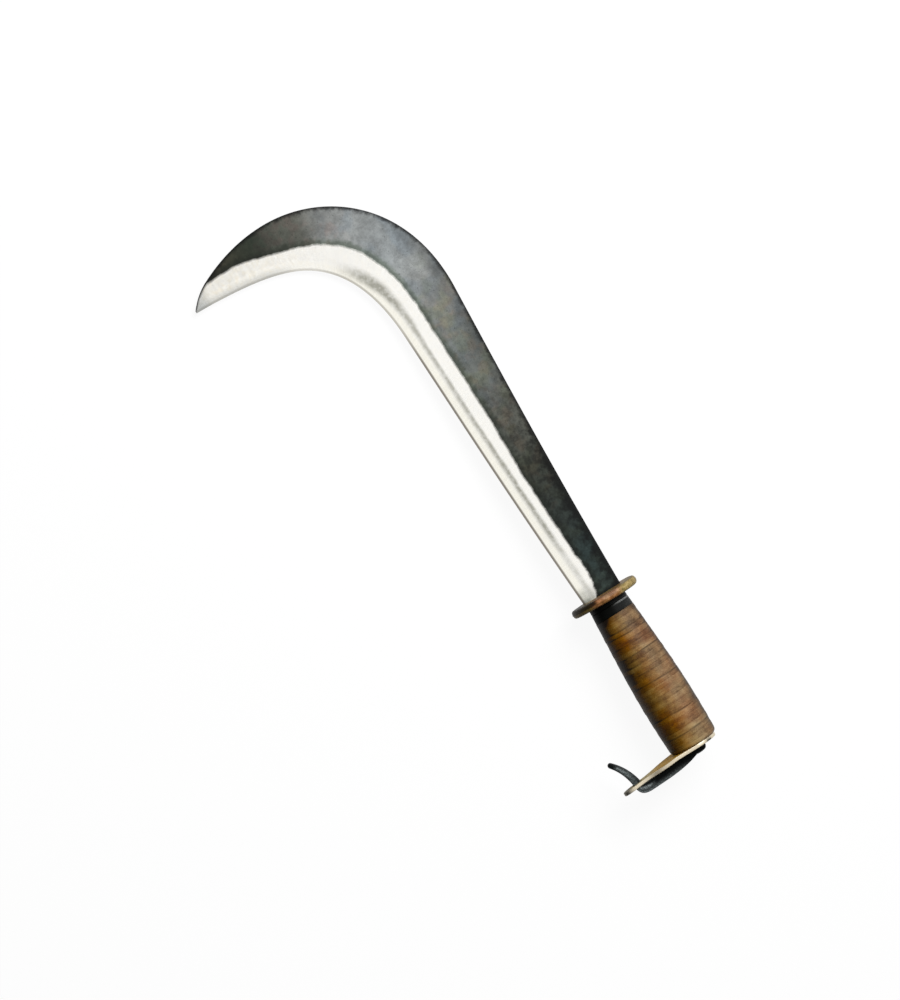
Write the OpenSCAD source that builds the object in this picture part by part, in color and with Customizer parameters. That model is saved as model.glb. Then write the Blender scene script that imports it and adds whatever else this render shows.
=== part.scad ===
// Billhook with a sickle nose, a stacked-leather grip and a belt hook.
// X runs along the tang towards the blade, Y towards the cutting edge, Z square to the blade's cheeks.
// The origin is on the tang's axis, half way along the handle. All sizes are in millimetres.

/* [Blade] */
// From the guard to the crown of the hook, along the handle's axis
blade_len = 344; // [320:1:380]
// From the guard to the deepest point of the spine's belly, along the axis
belly_at = 240; // [215:1:255]
// From the handle's axis to the spine at the guard
spine_at_guard = 14.6; // [12:0.1:18]
// From the handle's axis to the spine at the belly
spine_at_belly = 24.7; // [20:0.1:30]
// From the handle's axis to the cutting edge at the guard
edge_at_guard = 15; // [12:0.1:18]
// From the handle's axis to the cutting edge opposite the belly
edge_at_belly = 23.4; // [18:0.1:28]
// How far the edge's straight run stops short of the belly
edge_lead = 14; // [8:0.5:20]
// Height of the crown above the handle's axis
crown_rise = 66.5; // [60:0.5:74]
// Width of the blade at the crown
crown_w = 38.5; // [32:0.5:42]
// Reach of the tip from the handle's axis
tip_reach = 139; // [130:0.1:150]
// How far the tip lies back from the crown, along the axis
tip_back = 27.3; // [24:0.1:32]
// Height of the tip's part that is ground from edge to spine
tip_grind = 16.2; // [13:0.1:20]
// Thickness of the blade along its straight run
blade_t = 5; // [4.6:0.1:7]
// Thickness of the blade where the tip's grind begins
nose_t = 3.2; // [2.5:0.1:4]
// Thickness at the point
tip_t = 0.8; // [0.5:0.1:1.2]
// Thickness left at the cutting edge
edge_t = 0.4; // [0.2:0.1:0.6]
// Width of the edge bevel
facet_w = 7.5; // [5:0.5:9]
// How much the bevels swell beyond one flat grind
bevel_swell = 1.12; // [1.02:0.02:1.2]
// From the handle's axis to the bevel's upper line, at the belly
bevel_at_belly = 5; // [3:0.1:8]
// Length of the bend that brings the bevel's upper line down beside the guard
bevel_bend = 8; // [5:0.5:12]
// Width of the flat left between spine and bevel at the crown
crown_flat = 21.4; // [18:0.1:24]

/* [Tang] */
// Width of the tang
tang_w = 9; // [7:0.1:11]
// Thickness of the tang
tang_t = 4.4; // [3:0.1:4.5]
// Diameter of the tang's round end
rivet_d = 6; // [5:0.1:7]
// Diameter of the riveted head
head_d = 9.5; // [8.5:0.1:10]
// Depth of the head's countersunk part
head_h = 2; // [1.5:0.1:2.5]
// Height of the head's dome
dome_h = 0.7; // [0.4:0.1:1]
// How far the flat tang stops short of the plate, so that riveting draws the stack up
tang_draw = 0.5; // [0.2:0.1:1]

/* [Guard] */
// Diameter of the leather guard disc
guard_d = 51; // [46:0.5:58]
// Thickness of the guard disc
guard_t = 5.6; // [4.5:0.1:8]
// Rounding of the guard's rim
guard_round = 2; // [0.5:0.1:2.2]

/* [Grip] */
// Number of leather washers
washer_count = 28; // [20:1:36]
// Thickness of a leather washer
washer_t = 3.8; // [3.2:0.1:4.5]
// Rounding of a washer's rim
washer_round = 0.4; // [0.2:0.1:0.6]
// Rounding of the last washer's rim, beside the pommel plate
heel_round = 2.5; // [1:0.1:2.6]
// Length of the blackened ferrule
ferrule_len = 6.8; // [5:0.1:12]
// Thickness of the black collar between ferrule and guard
collar_t = 3.8; // [2:0.1:5]
// Rounding of the rims of ferrule and collar
ring_round = 0.5; // [0.2:0.1:0.8]
// Radius of the grip beside the guard
grip_r_front = 14.3; // [12:0.1:16.5]
// Radius of the grip where it is fullest
grip_r_full = 18.6; // [17:0.1:21]
// Radius of the grip at the pommel plate
grip_r_rear = 17.9; // [16.5:0.1:20]
// From the pommel plate to the fullest part of the grip
full_at = 32; // [25:1:45]

/* [Pommel plate] */
// Thickness of the plate
plate_t = 2.6; // [2.2:0.1:3.5]
// Half the width of the plate, and the radius of its back
plate_r = 16; // [14:0.1:18]
// Width of the tongue
tongue_w = 12; // [11:0.1:15]
// How far the tongue runs past the hook's arm
tongue_over = 12; // [10:0.1:15]
// Angle at which the tongue bends away from the handle
tongue_bend = 5.5; // [2:0.5:7]

/* [Belt hook] */
// Distance of the hook's arm from the handle's axis, where it passes the tongue
arm_y = 48.6; // [46:0.1:54]
// Width of the hook's bar
hook_w = 7; // [6:0.1:7.5]
// Thickness of the bar where it is fullest
hook_t = 8; // [6.5:0.1:9.5]
// Thickness of the arm at the tongue
arm_t = 6.2; // [5:0.1:7]
// Thickness of the arm at its tip
arm_tip_t = 3.8; // [3:0.1:4.6]
// Width of the arm at its tip
arm_tip_w = 5; // [4:0.1:6]
// How far the arm's tip stands in front of the tongue
arm_rise = 21.5; // [16:0.5:28]
// How far the arm's tip leans away from the handle
arm_lean = 9.8; // [6:0.1:13]
// Length of the bend between the bar's fullest part and the arm
bend_len = 10.5; // [8:0.5:14]
// Radius of the eye round the tang's end
eye_r = 6.5; // [6:0.1:7.5]
// Thickness of the eye
eye_t = 4.6; // [4:0.1:5.5]
// Rounding of the eye's outer corner, at the back
eye_round = 3; // [1:0.1:3.5]
// From the handle's axis to where the bar starts to thicken
swell_y = 2; // [0:0.1:4]
// From the handle's axis to where the eye has narrowed to the bar
neck_y = 14; // [10:0.5:18]

/* [Fits] */
// Gap on each side of the tang in the stack
tang_gap = 0.1; // [0.05:0.05:0.2]
// Gap round the tang's end in the plate and in the eye
rivet_gap = 0.1; // [0.05:0.05:0.2]
// Gap round the hook's arm in the tongue
slot_gap = 0.3; // [0.2:0.1:0.5]

/* [Hidden] */
$fn = 96;

function washer_name(i) = str("leather_washer_", i < 10 ? "0" : "", i);

// Places along the X axis, from the belt hook's eye to the crown
leather_len = washer_count * washer_t;
handle_len = leather_len + ferrule_len + collar_t;
rear_x = -handle_len / 2;
tang_x = rear_x + tang_draw;
full_x = rear_x + full_at;
leather_x = rear_x + leather_len;
collar_x = leather_x + ferrule_len;
guard_x = handle_len / 2;
shoulder_x = guard_x + guard_t;
belly_x = shoulder_x + belly_at;
crown_x = shoulder_x + blade_len;
tip_x = crown_x - tip_back;
under_x = rear_x - plate_t;
eye_x = under_x - eye_t;

// Steps along the blade's four stretches, along a bent bar and round a corner
blade_steps = [18, 26, 14, 6];
bar_steps = 12;
round_steps = 4;
// A length by which one shape reaches into another that it joins or cuts
bite = 1;
// Width of flat that always stays beside the spine
least_flat = 0.3;
// Width of the point
point_w = 1.4;
// How far the edge bows back behind the tip, where the tip's grind begins
edge_bow = 1.3;
// Angle of the nose's back, from the X axis
nose_angle = 131;
// Angle at which the hook's arm leaves the tongue, and at which its tip ends
arm_angle = 8;
arm_tip_angle = 42;
// Half the sweep of the arm's rounded tip
tip_sweep = 75;
// Slope of the grip's taper at the guard, against an even taper's
front_slope = 1.2;

// Plane curves

function heading(a) = [cos(a), sin(a)];

// Control points of a curve that leaves p at angle a and reaches q at angle b.
// Its handles are j and k times the distance from p to q.
function curve(p, a, q, b, j, k) =
    let (span = norm(q - p))
    [p, p + heading(a) * j * span, q - heading(b) * k * span, q];

function at(c, t) =
    c[0] * pow(1 - t, 3) + c[1] * 3 * t * pow(1 - t, 2) + c[2] * 3 * t * t * (1 - t) + c[3] * pow(t, 3);

// Unit vector square to a curve, on its left
function left_of(c, t) =
    let (d = (c[1] - c[0]) * pow(1 - t, 2) + (c[2] - c[1]) * 2 * t * (1 - t) + (c[3] - c[2]) * t * t)
    [-d[1], d[0]] / norm(d);

// Points along a curve, without its end
function run(c, n) = [for (i = [0:n - 1]) at(c, i / n)];

// Points along a chain of curves, with the last end
function chain(curves, steps) = concat(
    [for (k = [0:len(curves) - 1]) each run(curves[k], steps[k])],
    [curves[len(curves) - 1][3]]
);

function arc(centre, r, a, b, n) = [for (i = [0:n]) centre + r * heading(a + (b - a) * i / n)];

function backwards(v) = [for (i = [len(v) - 1:-1:0]) v[i]];

// A closed outline from its half with positive second coordinates
function mirrored(half) = concat(half, [for (p = backwards(half)) if (p[1] > 0) [p[0], -p[1]]]);

// Solids that lie along the X axis

// A flat shape in Y and Z, made into a bar from x0 to x1
module bar_along_x(x0, x1) {
    translate([x0, 0, 0]) rotate([90, 0, 90]) linear_extrude(x1 - x0) children();
}

// A profile of radius and length, turned round the X axis from x0 on
module turned(x0, profile) {
    translate([x0, 0, 0]) rotate([90, 0, 90]) rotate_extrude() polygon(profile);
}

// Profile of a ring from radius r0 to r1 over a length t, its two rims rounded by c0 and c1
function ring_profile(r0, r1, t, c0, c1) = concat(
    [[0, 0]],
    arc([r0 - c0, c0], c0, -90, 0, round_steps),
    arc([r1 - c1, t - c1], c1, 0, 90, round_steps),
    [[0, t]]
);

// The slot for the tang through a ring from x0 to x1
module tang_slot(x0, x1) {
    bar_along_x(x0 - bite, x1 + bite) square([tang_w + 2 * tang_gap, tang_t + 2 * tang_gap], center = true);
}

// Radius of the handle: a curved taper in front of its fullest part, a slight draw-in behind it
function handle_r(x) =
    x < full_x ? grip_r_full + (grip_r_rear - grip_r_full) * pow((full_x - x) / full_at, 2) :
    let (s = (x - full_x) / (guard_x - full_x))
    grip_r_full + (grip_r_front - grip_r_full) * ((3 - front_slope) * s * s + (front_slope - 2) * pow(s, 3));

// A ring of the handle from x0 to x1, which follows the handle's own outline
module handle_ring(x0, x1, c0, c1) {
    difference() {
        turned(x0, ring_profile(handle_r(x0), handle_r(x1), x1 - x0, c0, c1));
        tang_slot(x0, x1);
    }
}

// The blade and its tang

tip = [tip_x, tip_reach];
belly_share = (spine_at_belly + bevel_at_belly) / (spine_at_belly + edge_at_belly);
spine_knots = [
    [shoulder_x, -spine_at_guard],
    [belly_x, -spine_at_belly],
    [crown_x, crown_rise],
    tip - heading(nose_angle) * tip_grind / sin(nose_angle),
    tip + [point_w / 2, 0]
];
edge_knots = [
    [shoulder_x, edge_at_guard],
    [belly_x - edge_lead, edge_at_belly],
    [crown_x - crown_w, crown_rise],
    tip - [edge_bow, tip_grind],
    tip - [point_w / 2, 0]
];
bevel_knots = [
    [shoulder_x, tang_w / 2 + least_flat],
    [belly_x - edge_lead * belly_share, bevel_at_belly],
    [crown_x - crown_flat, crown_rise],
    spine_knots[3] - [least_flat, 0],
    spine_knots[4] - [point_w / 4, 0]
];
spine_line = chain([
    curve(spine_knots[0], -1.2, spine_knots[1], -3.2, 0.4, 0.3),
    curve(spine_knots[1], -2, spine_knots[2], 89, 0.49, 0.33),
    curve(spine_knots[2], 89, spine_knots[3], 116, 0.32, 0.37),
    curve(spine_knots[3], 116, spine_knots[4], 142, 0.33, 0.33)
], blade_steps);
edge_line = chain([
    curve(edge_knots[0], 3.2, edge_knots[1], 1.8, 0.42, 0.34),
    curve(edge_knots[1], 1.8, edge_knots[2], 68, 0.34, 0.4),
    curve(edge_knots[2], 68, edge_knots[3], 86, 0.32, 0.33),
    curve(edge_knots[3], 86, edge_knots[4], 88, 0.33, 0.33)
], blade_steps);
bevel_line = chain([
    curve(bevel_knots[0], -60, bevel_knots[1], -1, bevel_bend / belly_at, 0.4),
    curve(bevel_knots[1], 1, bevel_knots[2], 76, 0.19, 0.59),
    curve(bevel_knots[2], 76, bevel_knots[3], 100, 0.36, 0.5),
    curve(bevel_knots[3], 116, bevel_knots[4], 142, 0.33, 0.33)
], blade_steps);

// Thickness of the flat at a station: even along the straight run, then falling to the point
nose_step = blade_steps[0];
grind_step = nose_step + blade_steps[1] + blade_steps[2];
function flat_t(i) =
    i <= nose_step ? blade_t :
    i <= grind_step ? blade_t + (nose_t - blade_t) * (i - nose_step) / (grind_step - nose_step) :
    nose_t + (tip_t - nose_t) * (i - grind_step) / blade_steps[3];

// One section of the blade: along one cheek from spine to edge, and back along the other
function blade_section(i) =
    let (
        bevel = bevel_line[i],
        edge = edge_line[i],
        t = flat_t(i),
        thin = min(edge_t, t / 2),
        share = min(facet_w / norm(bevel - edge), 0.5),
        cheek = [
            [spine_line[i], t],
            [bevel, t],
            [edge + (bevel - edge) * share, thin + (t - thin) * share * bevel_swell],
            [edge, thin]
        ]
    )
    concat(
        [for (p = cheek) [p[0][0], p[0][1], p[1] / 2]],
        [for (p = backwards(cheek)) [p[0][0], p[0][1], -p[1] / 2]]
    );

// A skin over a row of sections that have as many points each, closed at both ends
module loft(sections) {
    sides = len(sections[0]);
    last = len(sections) - 1;
    function point(i, k) = i * sides + k % sides;
    polyhedron(
        points = [for (s = sections) each s],
        faces = concat(
            [[for (k = [sides - 1:-1:0]) point(0, k)]],
            [for (i = [0:last - 1], k = [0:sides - 1])
                [point(i, k), point(i, k + 1), point(i + 1, k)]],
            [for (i = [0:last - 1], k = [0:sides - 1])
                [point(i, k + 1), point(i + 1, k + 1), point(i + 1, k)]],
            [[for (k = [0:sides - 1]) point(last, k)]]
        )
    );
}

// Profile of the tang's round end, its countersunk head and the head's dome, from the head inwards
dome_r = (pow(head_d / 2, 2) + pow(dome_h, 2)) / (2 * dome_h);
dome_angle = asin(head_d / 2 / dome_r);
rivet_profile = concat(
    arc([0, dome_r - dome_h], dome_r, -90, dome_angle - 90, round_steps),
    [
        [rivet_d / 2, head_h],
        [rivet_d / 2, tang_x - eye_x + bite],
        [0, tang_x - eye_x + bite]
    ]
);

module blade() {
    color("dimgray") union() {
        loft([for (i = [0:len(spine_line) - 1]) blade_section(i)]);
        bar_along_x(tang_x, shoulder_x + bite) square([tang_w, tang_t], center = true);
        turned(eye_x, rivet_profile);
    }
}

// The stack on the tang

module guard_disc() {
    color("peru") difference() {
        turned(guard_x, ring_profile(guard_d / 2, guard_d / 2, guard_t, guard_round, guard_round));
        tang_slot(guard_x, shoulder_x);
    }
}

module collar_washer() {
    color("black") handle_ring(collar_x, guard_x, ring_round, ring_round);
}

module ferrule() {
    color("darkslategray") handle_ring(leather_x, collar_x, ring_round, ring_round);
}

// Washer 1 lies against the ferrule, the last one on the pommel plate
module leather_washer(i) {
    x0 = leather_x - i * washer_t;
    rear_round = i == washer_count ? heel_round : washer_round;
    color("saddlebrown") handle_ring(x0, x0 + washer_t, rear_round, washer_round);
}

// The pommel plate

tongue_y = arm_y + tongue_over;
slot_h = arm_t + plate_t * tan(arm_angle) + 2 * slot_gap;

// The plate's underside at a distance y from the axis
function plate_under(y) = under_x - max(0, y - plate_r) * tan(tongue_bend);

// The plate seen along X: its round back, its drawn-in flanks and the tongue's round end
plate_outline = mirrored(concat(
    arc([0, 0], plate_r, 180, 90, 3 * round_steps),
    chain([
        curve([plate_r, plate_r], 0, [arm_y - arm_t / 2, tongue_w / 2], 0, 0.55, 0.4)
    ], [bar_steps]),
    arc([tongue_y - tongue_w / 2, 0], tongue_w / 2, 90, 0, 2 * round_steps)
));

module pommel_plate() {
    color("gainsboro") difference() {
        intersection() {
            bar_along_x(plate_under(tongue_y) - bite, rear_x + bite) polygon(plate_outline);
            linear_extrude(2 * plate_r + 2 * bite, center = true) polygon([
                [under_x, -plate_r - bite],
                [under_x, plate_r],
                [plate_under(tongue_y + bite), tongue_y + bite],
                [plate_under(tongue_y + bite) + plate_t, tongue_y + bite],
                [rear_x, plate_r],
                [rear_x, -plate_r - bite]
            ]);
        }
        bar_along_x(under_x - bite, rear_x + bite) circle(rivet_d / 2 + rivet_gap);
        translate([plate_under(arm_y) + plate_t / 2, arm_y, 0])
            cube([2 * plate_t, slot_h, hook_w + 2 * slot_gap], center = true);
    }
}

// The belt hook

arm_root = [plate_under(arm_y) + plate_t / 2, arm_y];
arm_tip = arm_root + [arm_rise, arm_lean];
arm_line = curve(arm_root, arm_angle, arm_tip, arm_tip_angle, 0.35, 0.35);
// The arm's sides: its outer side is to the left of its line
function arm_side(t, side) =
    at(arm_line, t) + left_of(arm_line, t) * side * (arm_t + (arm_tip_t - arm_t) * t) / 2;
// Where the arm's inner side meets the plate's underside
heel_y = arm_y - arm_t / 2 - plate_t / 2 * tan(arm_angle);
// Where the bar is fullest
belly_y = heel_y - bend_len;
// The bar's outside from the eye to its fullest part, and round the bend to the arm
bar_belly = curve([eye_x, swell_y], 112, [plate_under(belly_y) - hook_t, belly_y], 92, 0.3, 0.45);
bar_bend = curve(bar_belly[3], 92, arm_side(0, 1), arm_angle, 0.5, 0.5);

// The hook seen along Z
bar_outline = concat(
    [[under_x, -eye_r], [under_x, plate_r], [plate_under(heel_y), heel_y]],
    [for (i = [0:bar_steps]) arm_side(i / bar_steps, -1)],
    arc(arm_tip, arm_tip_t / 2, arm_tip_angle - tip_sweep, arm_tip_angle + tip_sweep, round_steps),
    [for (i = [bar_steps:-1:1]) arm_side(i / bar_steps, 1)],
    backwards(chain([bar_belly, bar_bend], [bar_steps, bar_steps])),
    arc([eye_x + eye_round, eye_round - eye_r], eye_round, 180, 270, round_steps)
);

// The hook seen along X: the eye, the bar and the narrowing arm
bar_plan = mirrored(concat(
    arc([0, 0], eye_r, 180, 90, 2 * round_steps),
    [
        [neck_y, hook_w / 2],
        [arm_y, hook_w / 2],
        [arm_tip[1] + arm_tip_t, arm_tip_w / 2]
    ]
));

module belt_hook() {
    color("black") difference() {
        intersection() {
            linear_extrude(2 * eye_r + 2 * bite, center = true) polygon(bar_outline);
            bar_along_x(plate_under(belly_y) - hook_t - bite, arm_tip[0] + arm_tip_t) polygon(bar_plan);
        }
        bar_along_x(eye_x - bite, under_x + bite) circle(rivet_d / 2 + rivet_gap);
        turned(eye_x, [
            [0, 0],
            [head_d / 2 + rivet_gap, 0],
            [rivet_d / 2 + rivet_gap, head_h],
            [0, head_h]
        ]);
        bar_along_x(eye_x - hook_t, eye_x) circle(head_d / 2 + rivet_gap);
    }
}

blade();
guard_disc();
collar_washer();
ferrule();
for (i = [1:washer_count]) leather_washer(i);
pommel_plate();
belt_hook();
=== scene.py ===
"""A billhook: forged blade, stacked-leather grip, pommel plate and belt hook, with their finishes.

Sizes in the classes are millimetres in the part's own frame: X runs along the tang towards the blade,
Y towards the cutting edge and Z square to the blade's cheeks. Meshes are written in metres.
"""

import logging
from collections.abc import Callable
from dataclasses import dataclass, field
from enum import Enum
from functools import partial
from typing import Any

import bmesh
import bpy
import numpy as np
from mathutils import Matrix, Vector
from mathutils.bvhtree import BVHTree


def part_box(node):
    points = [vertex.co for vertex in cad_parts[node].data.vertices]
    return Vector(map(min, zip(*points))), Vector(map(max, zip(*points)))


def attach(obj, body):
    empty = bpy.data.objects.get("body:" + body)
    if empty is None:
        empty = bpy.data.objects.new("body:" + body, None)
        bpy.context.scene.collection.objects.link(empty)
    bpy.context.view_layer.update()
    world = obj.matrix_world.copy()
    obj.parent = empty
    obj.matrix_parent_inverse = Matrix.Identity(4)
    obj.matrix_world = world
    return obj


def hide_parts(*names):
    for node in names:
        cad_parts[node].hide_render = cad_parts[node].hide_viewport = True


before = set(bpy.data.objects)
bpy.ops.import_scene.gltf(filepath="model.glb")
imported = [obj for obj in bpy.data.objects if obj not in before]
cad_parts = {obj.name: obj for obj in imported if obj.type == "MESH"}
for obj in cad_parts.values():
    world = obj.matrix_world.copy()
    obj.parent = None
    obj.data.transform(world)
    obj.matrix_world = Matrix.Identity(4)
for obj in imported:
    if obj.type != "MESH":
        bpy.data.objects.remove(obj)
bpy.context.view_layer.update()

LOG = logging.getLogger("billhook")
Floats = np.ndarray
Point = tuple[float, float]
Place = tuple[float, float, float]
Numbers = tuple[float, ...]
Node = bpy.types.Node
Thing = bpy.types.Object
AddNode = Callable[..., Node]
Measures = dict[str, Any]

BODY = "root"
MM = 0.001
PER_M = 1000.0
WELD = 1e-7
GOLDEN_ANGLE = 2.39996
FULL_TURN = 2.0 * np.pi
QUARTER_TURN = np.pi / 2
# Sockets of the Mix node: its factor, its two numbers and its two colours
FACTOR = 0
NUMBER_A = 2
NUMBER_B = 3
COLOUR_A = 6
COLOUR_B = 7


def linear(code: str) -> tuple[float, float, float, float]:
    """Turns an sRGB hex colour into a linear one: a straight foot, then a power curve.

    Args:
        code: Colour as #rrggbb.

    Returns:
        Linear red, green, blue and a full alpha.
    """
    channels = np.array([int(code[i : i + 2], 16) for i in (1, 3, 5)]) / 255.0
    low = channels / 12.92
    high = ((channels + 0.055) / 1.055) ** 2.4
    red, green, blue = np.where(channels <= 0.04045, low, high)
    return float(red), float(green), float(blue), 1.0


def add_node(
    tree: bpy.types.NodeTree,
    kind: str,
    inputs: dict[str | int, Any] | None = None,
    stops: tuple[tuple[float, str], ...] = (),
    **settings: Any,
) -> Node:
    """Adds one node to a tree, with its settings, its values and its links.

    Args:
        tree: The tree that takes the node.
        kind: Name of the shader node's type.
        inputs: For each input by name or number, a value, a socket to link, or a node to link from.
        stops: Places and hex colours of a colour ramp.
        **settings: Properties of the node.

    Returns:
        The new node.
    """
    node = tree.nodes.new(f"ShaderNode{kind}")
    for name, value in settings.items():
        setattr(node, name, value)
    for key, value in (inputs or {}).items():
        if isinstance(value, Node):
            value = next(socket for socket in value.outputs if socket.enabled)
        if isinstance(value, bpy.types.NodeSocket):
            tree.links.new(value, node.inputs[key])
        else:
            node.inputs[key].default_value = value
    for index, (place, code) in enumerate(stops):
        ramp = node.color_ramp.elements
        stop = ramp[index] if index < len(ramp) else ramp.new(place)
        stop.position = place
        stop.color = linear(code)
    return node


def new_material(name: str) -> tuple[bpy.types.Material, AddNode]:
    """Makes an empty node material.

    Args:
        name: The material's name.

    Returns:
        The material, and a function that adds nodes to it.
    """
    material = bpy.data.materials.new(name)
    material.use_nodes = True
    material.node_tree.nodes.clear()
    return material, partial(add_node, material.node_tree)


class Curve(Enum):
    """How a step runs from its start to its end."""

    SMOOTH = "SMOOTHSTEP"
    STRAIGHT = "LINEAR"


class Join(Enum):
    """How steps are joined."""

    PRODUCT = "MULTIPLY"
    SUM = "ADD"


class Blend(Enum):
    """How a layer blends: it covers the colour underneath, or keeps its brightness."""

    COVER = "MIX"
    TINT = "COLOR"


@dataclass(frozen=True)
class Fade:
    """A step of a measure: one result up to a start, another past an end, and a curve in between.

    Attributes:
        start: Value of the measure where the step starts.
        end: Value of the measure where it ends.
        first: Result up to the start.
        last: Result past the end.
        curve: How the step runs.
    """

    start: Any
    end: Any
    first: float = 0.0
    last: float = 1.0
    curve: Curve = Curve.SMOOTH

    def at(self, values: Floats) -> Floats:
        """Results for many values, on the smooth curve: 3s^2 - 2s^3 for a share s of the way."""
        share = np.clip((values - self.start) / (self.end - self.start), 0.0, 1.0)
        return self.first + (self.last - self.first) * share * share * (3.0 - 2.0 * share)


@dataclass(frozen=True)
class Slope(Fade):
    """A step that runs straight."""

    curve: Curve = Curve.STRAIGHT


Steps = tuple[tuple[str, Fade], ...]


@dataclass(frozen=True)
class Layer:
    """A colour that is laid over another one.

    Attributes:
        colour: The colour, as a hex value.
        mask: Steps whose product says how much of it shows, each with its measure's name.
        blend: How it blends.
    """

    colour: str
    mask: Steps
    blend: Blend = Blend.COVER


@dataclass(frozen=True)
class Noise:
    """A noise on the piece's own coordinates.

    Attributes:
        name: Its name among the measures.
        size_mm: Size of its coarsest lumps.
        detail: How many finer octaves it has.
        roughness: How strong the finer octaves are.
        stretch: How far it is drawn out along each axis, if it is.
    """

    name: str
    size_mm: float
    detail: float
    roughness: float = 0.5
    stretch: Place | None = None


def measures(add: AddNode, marks: tuple[str, ...], noises: tuple[Noise, ...]) -> Measures:
    """Gathers what a finish is worked out from.

    Args:
        add: Adds a node to the material.
        marks: Names of the piece's marks.
        noises: The finish's noises.

    Returns:
        The point on the piece as place, the marks and the noises, by name.
    """
    place = add("TexCoord").outputs["Object"]
    found: Measures = {"place": place}
    for mark in marks:
        found[mark] = add("Attribute", attribute_name=mark).outputs["Fac"]
    for noise in noises:
        vector = place
        if noise.stretch:
            vector = add("VectorMath", {0: place, 1: noise.stretch}, operation="DIVIDE")
        grain = {"Scale": PER_M / noise.size_mm, "Detail": noise.detail, "Roughness": noise.roughness}
        found[noise.name] = add("TexNoise", {"Vector": vector, **grain})
    return found


def combine(
    add: AddNode, at: Measures, steps: Steps, join: Join = Join.PRODUCT, result: Any = None
) -> Node:
    """Multiplies steps of measures, or adds them up.

    Args:
        add: Adds a node to the material.
        at: The measures, by name.
        steps: The steps, each with its measure's name.
        join: How they are joined.
        result: What they are joined to.

    Returns:
        A node with the result.
    """
    for name, step in steps:
        ends = {"From Min": step.start, "From Max": step.end, "To Min": step.first, "To Max": step.last}
        value = add("MapRange", {"Value": at[name], **ends}, interpolation_type=step.curve.value)
        result = value if result is None else add("Math", {0: result, 1: value}, operation=join.value)
    return result


def lay(add: AddNode, at: Measures, colour: Any, layers: tuple[Layer, ...]) -> Node:
    """Lays colours over another one, each through its own mask.

    Args:
        add: Adds a node to the material.
        at: The measures, by name.
        colour: The colour underneath.
        layers: The layers, from the lowest up.

    Returns:
        A node with the colour.
    """
    for layer in layers:
        inputs = {FACTOR: combine(add, at, layer.mask), COLOUR_A: colour, COLOUR_B: linear(layer.colour)}
        colour = add("Mix", inputs, data_type="RGBA", blend_type=layer.blend.value)
    return colour


def close(add: AddNode, surface: dict[str, Any], relief: Any, depth: Point, gloss: float) -> None:
    """Ends a material with its surface and a fine relief.

    Args:
        add: Adds a node to the material.
        surface: Colour, roughness and metal of the surface.
        relief: Height of the relief.
        depth: The relief's strength, and its height in millimetres.
        gloss: Strength of the gloss on what isn't metal.
    """
    bump = add("Bump", {"Height": relief, "Strength": depth[0], "Distance": depth[1] * MM})
    skin = {**surface, "Normal": bump, "Specular IOR Level": gloss}
    add("OutputMaterial", {"Surface": add("BsdfPrincipled", skin)})


def heading(degrees: float) -> Floats:
    """Unit vector at an angle from the X axis."""
    return np.array([np.cos(np.radians(degrees)), np.sin(np.radians(degrees))])


def across(line: Floats) -> Floats:
    """Unit vectors a quarter turn to the left of a line's way along, from its points' differences."""
    ahead = line / np.linalg.norm(line, axis=1)[:, None]
    return np.stack([-ahead[:, 1], ahead[:, 0]], axis=1)


def run_length(points: Floats) -> Floats:
    """Distance run along a line at each of its points."""
    return np.concatenate([[0.0], np.cumsum(np.linalg.norm(np.diff(points, axis=0), axis=1))])


def waves(place: Floats, lengths: Numbers, heights: Numbers) -> Floats:
    """A sum of sine waves, each a golden angle out of step with the last.

    Args:
        place: Where the sum is taken, in millimetres.
        lengths: Wavelength of each wave.
        heights: Height of each wave.

    Returns:
        The summed heights, one for each place.
    """
    steps = np.arange(len(lengths)) * GOLDEN_ANGLE
    turns = FULL_TURN * np.asarray(place)[..., None] / np.array(lengths) + steps
    return (np.sin(turns) * np.array(heights)).sum(axis=-1)


@dataclass(frozen=True)
class Stretch:
    """A plane curve that leaves one point at an angle and reaches another at an angle.

    Attributes:
        start: First point.
        leave: Angle at the first point, in degrees.
        end: Last point.
        reach: Angle at the last point, in degrees.
        pulls: Lengths of the two handles, as shares of the straight distance.
    """

    start: Point
    leave: float
    end: Point
    reach: float
    pulls: Point

    def points(self, share: Floats) -> Floats:
        """Points of the curve: the Bernstein sum of its four control points.

        Args:
            share: Parameters from 0 at the start to 1 at the end.

        Returns:
            One point for each parameter.
        """
        start, end = np.array(self.start), np.array(self.end)
        span = np.linalg.norm(end - start)
        first = start + heading(self.leave) * self.pulls[0] * span
        second = end - heading(self.reach) * self.pulls[1] * span
        t = share[:, None]
        outer = start * (1 - t) ** 3 + end * t**3
        return outer + first * 3 * t * (1 - t) ** 2 + second * 3 * t * t * (1 - t)


def even_steps(points: Floats, places: Floats) -> Floats:
    """Points at shares of a line's length: its coordinates, read off against the length run so far.

    Args:
        points: Closely spaced points of the line.
        places: Shares of the line's length, from 0 to 1.

    Returns:
        One point for each share.
    """
    run = run_length(points)
    return np.stack([np.interp(places * run[-1], run, axis) for axis in points.T], axis=1)


class Wrap(Enum):
    """How a grid of points closes: whether its rows join up, and whether its columns do."""

    TUBE = (False, True)
    RING = (True, True)


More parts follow.
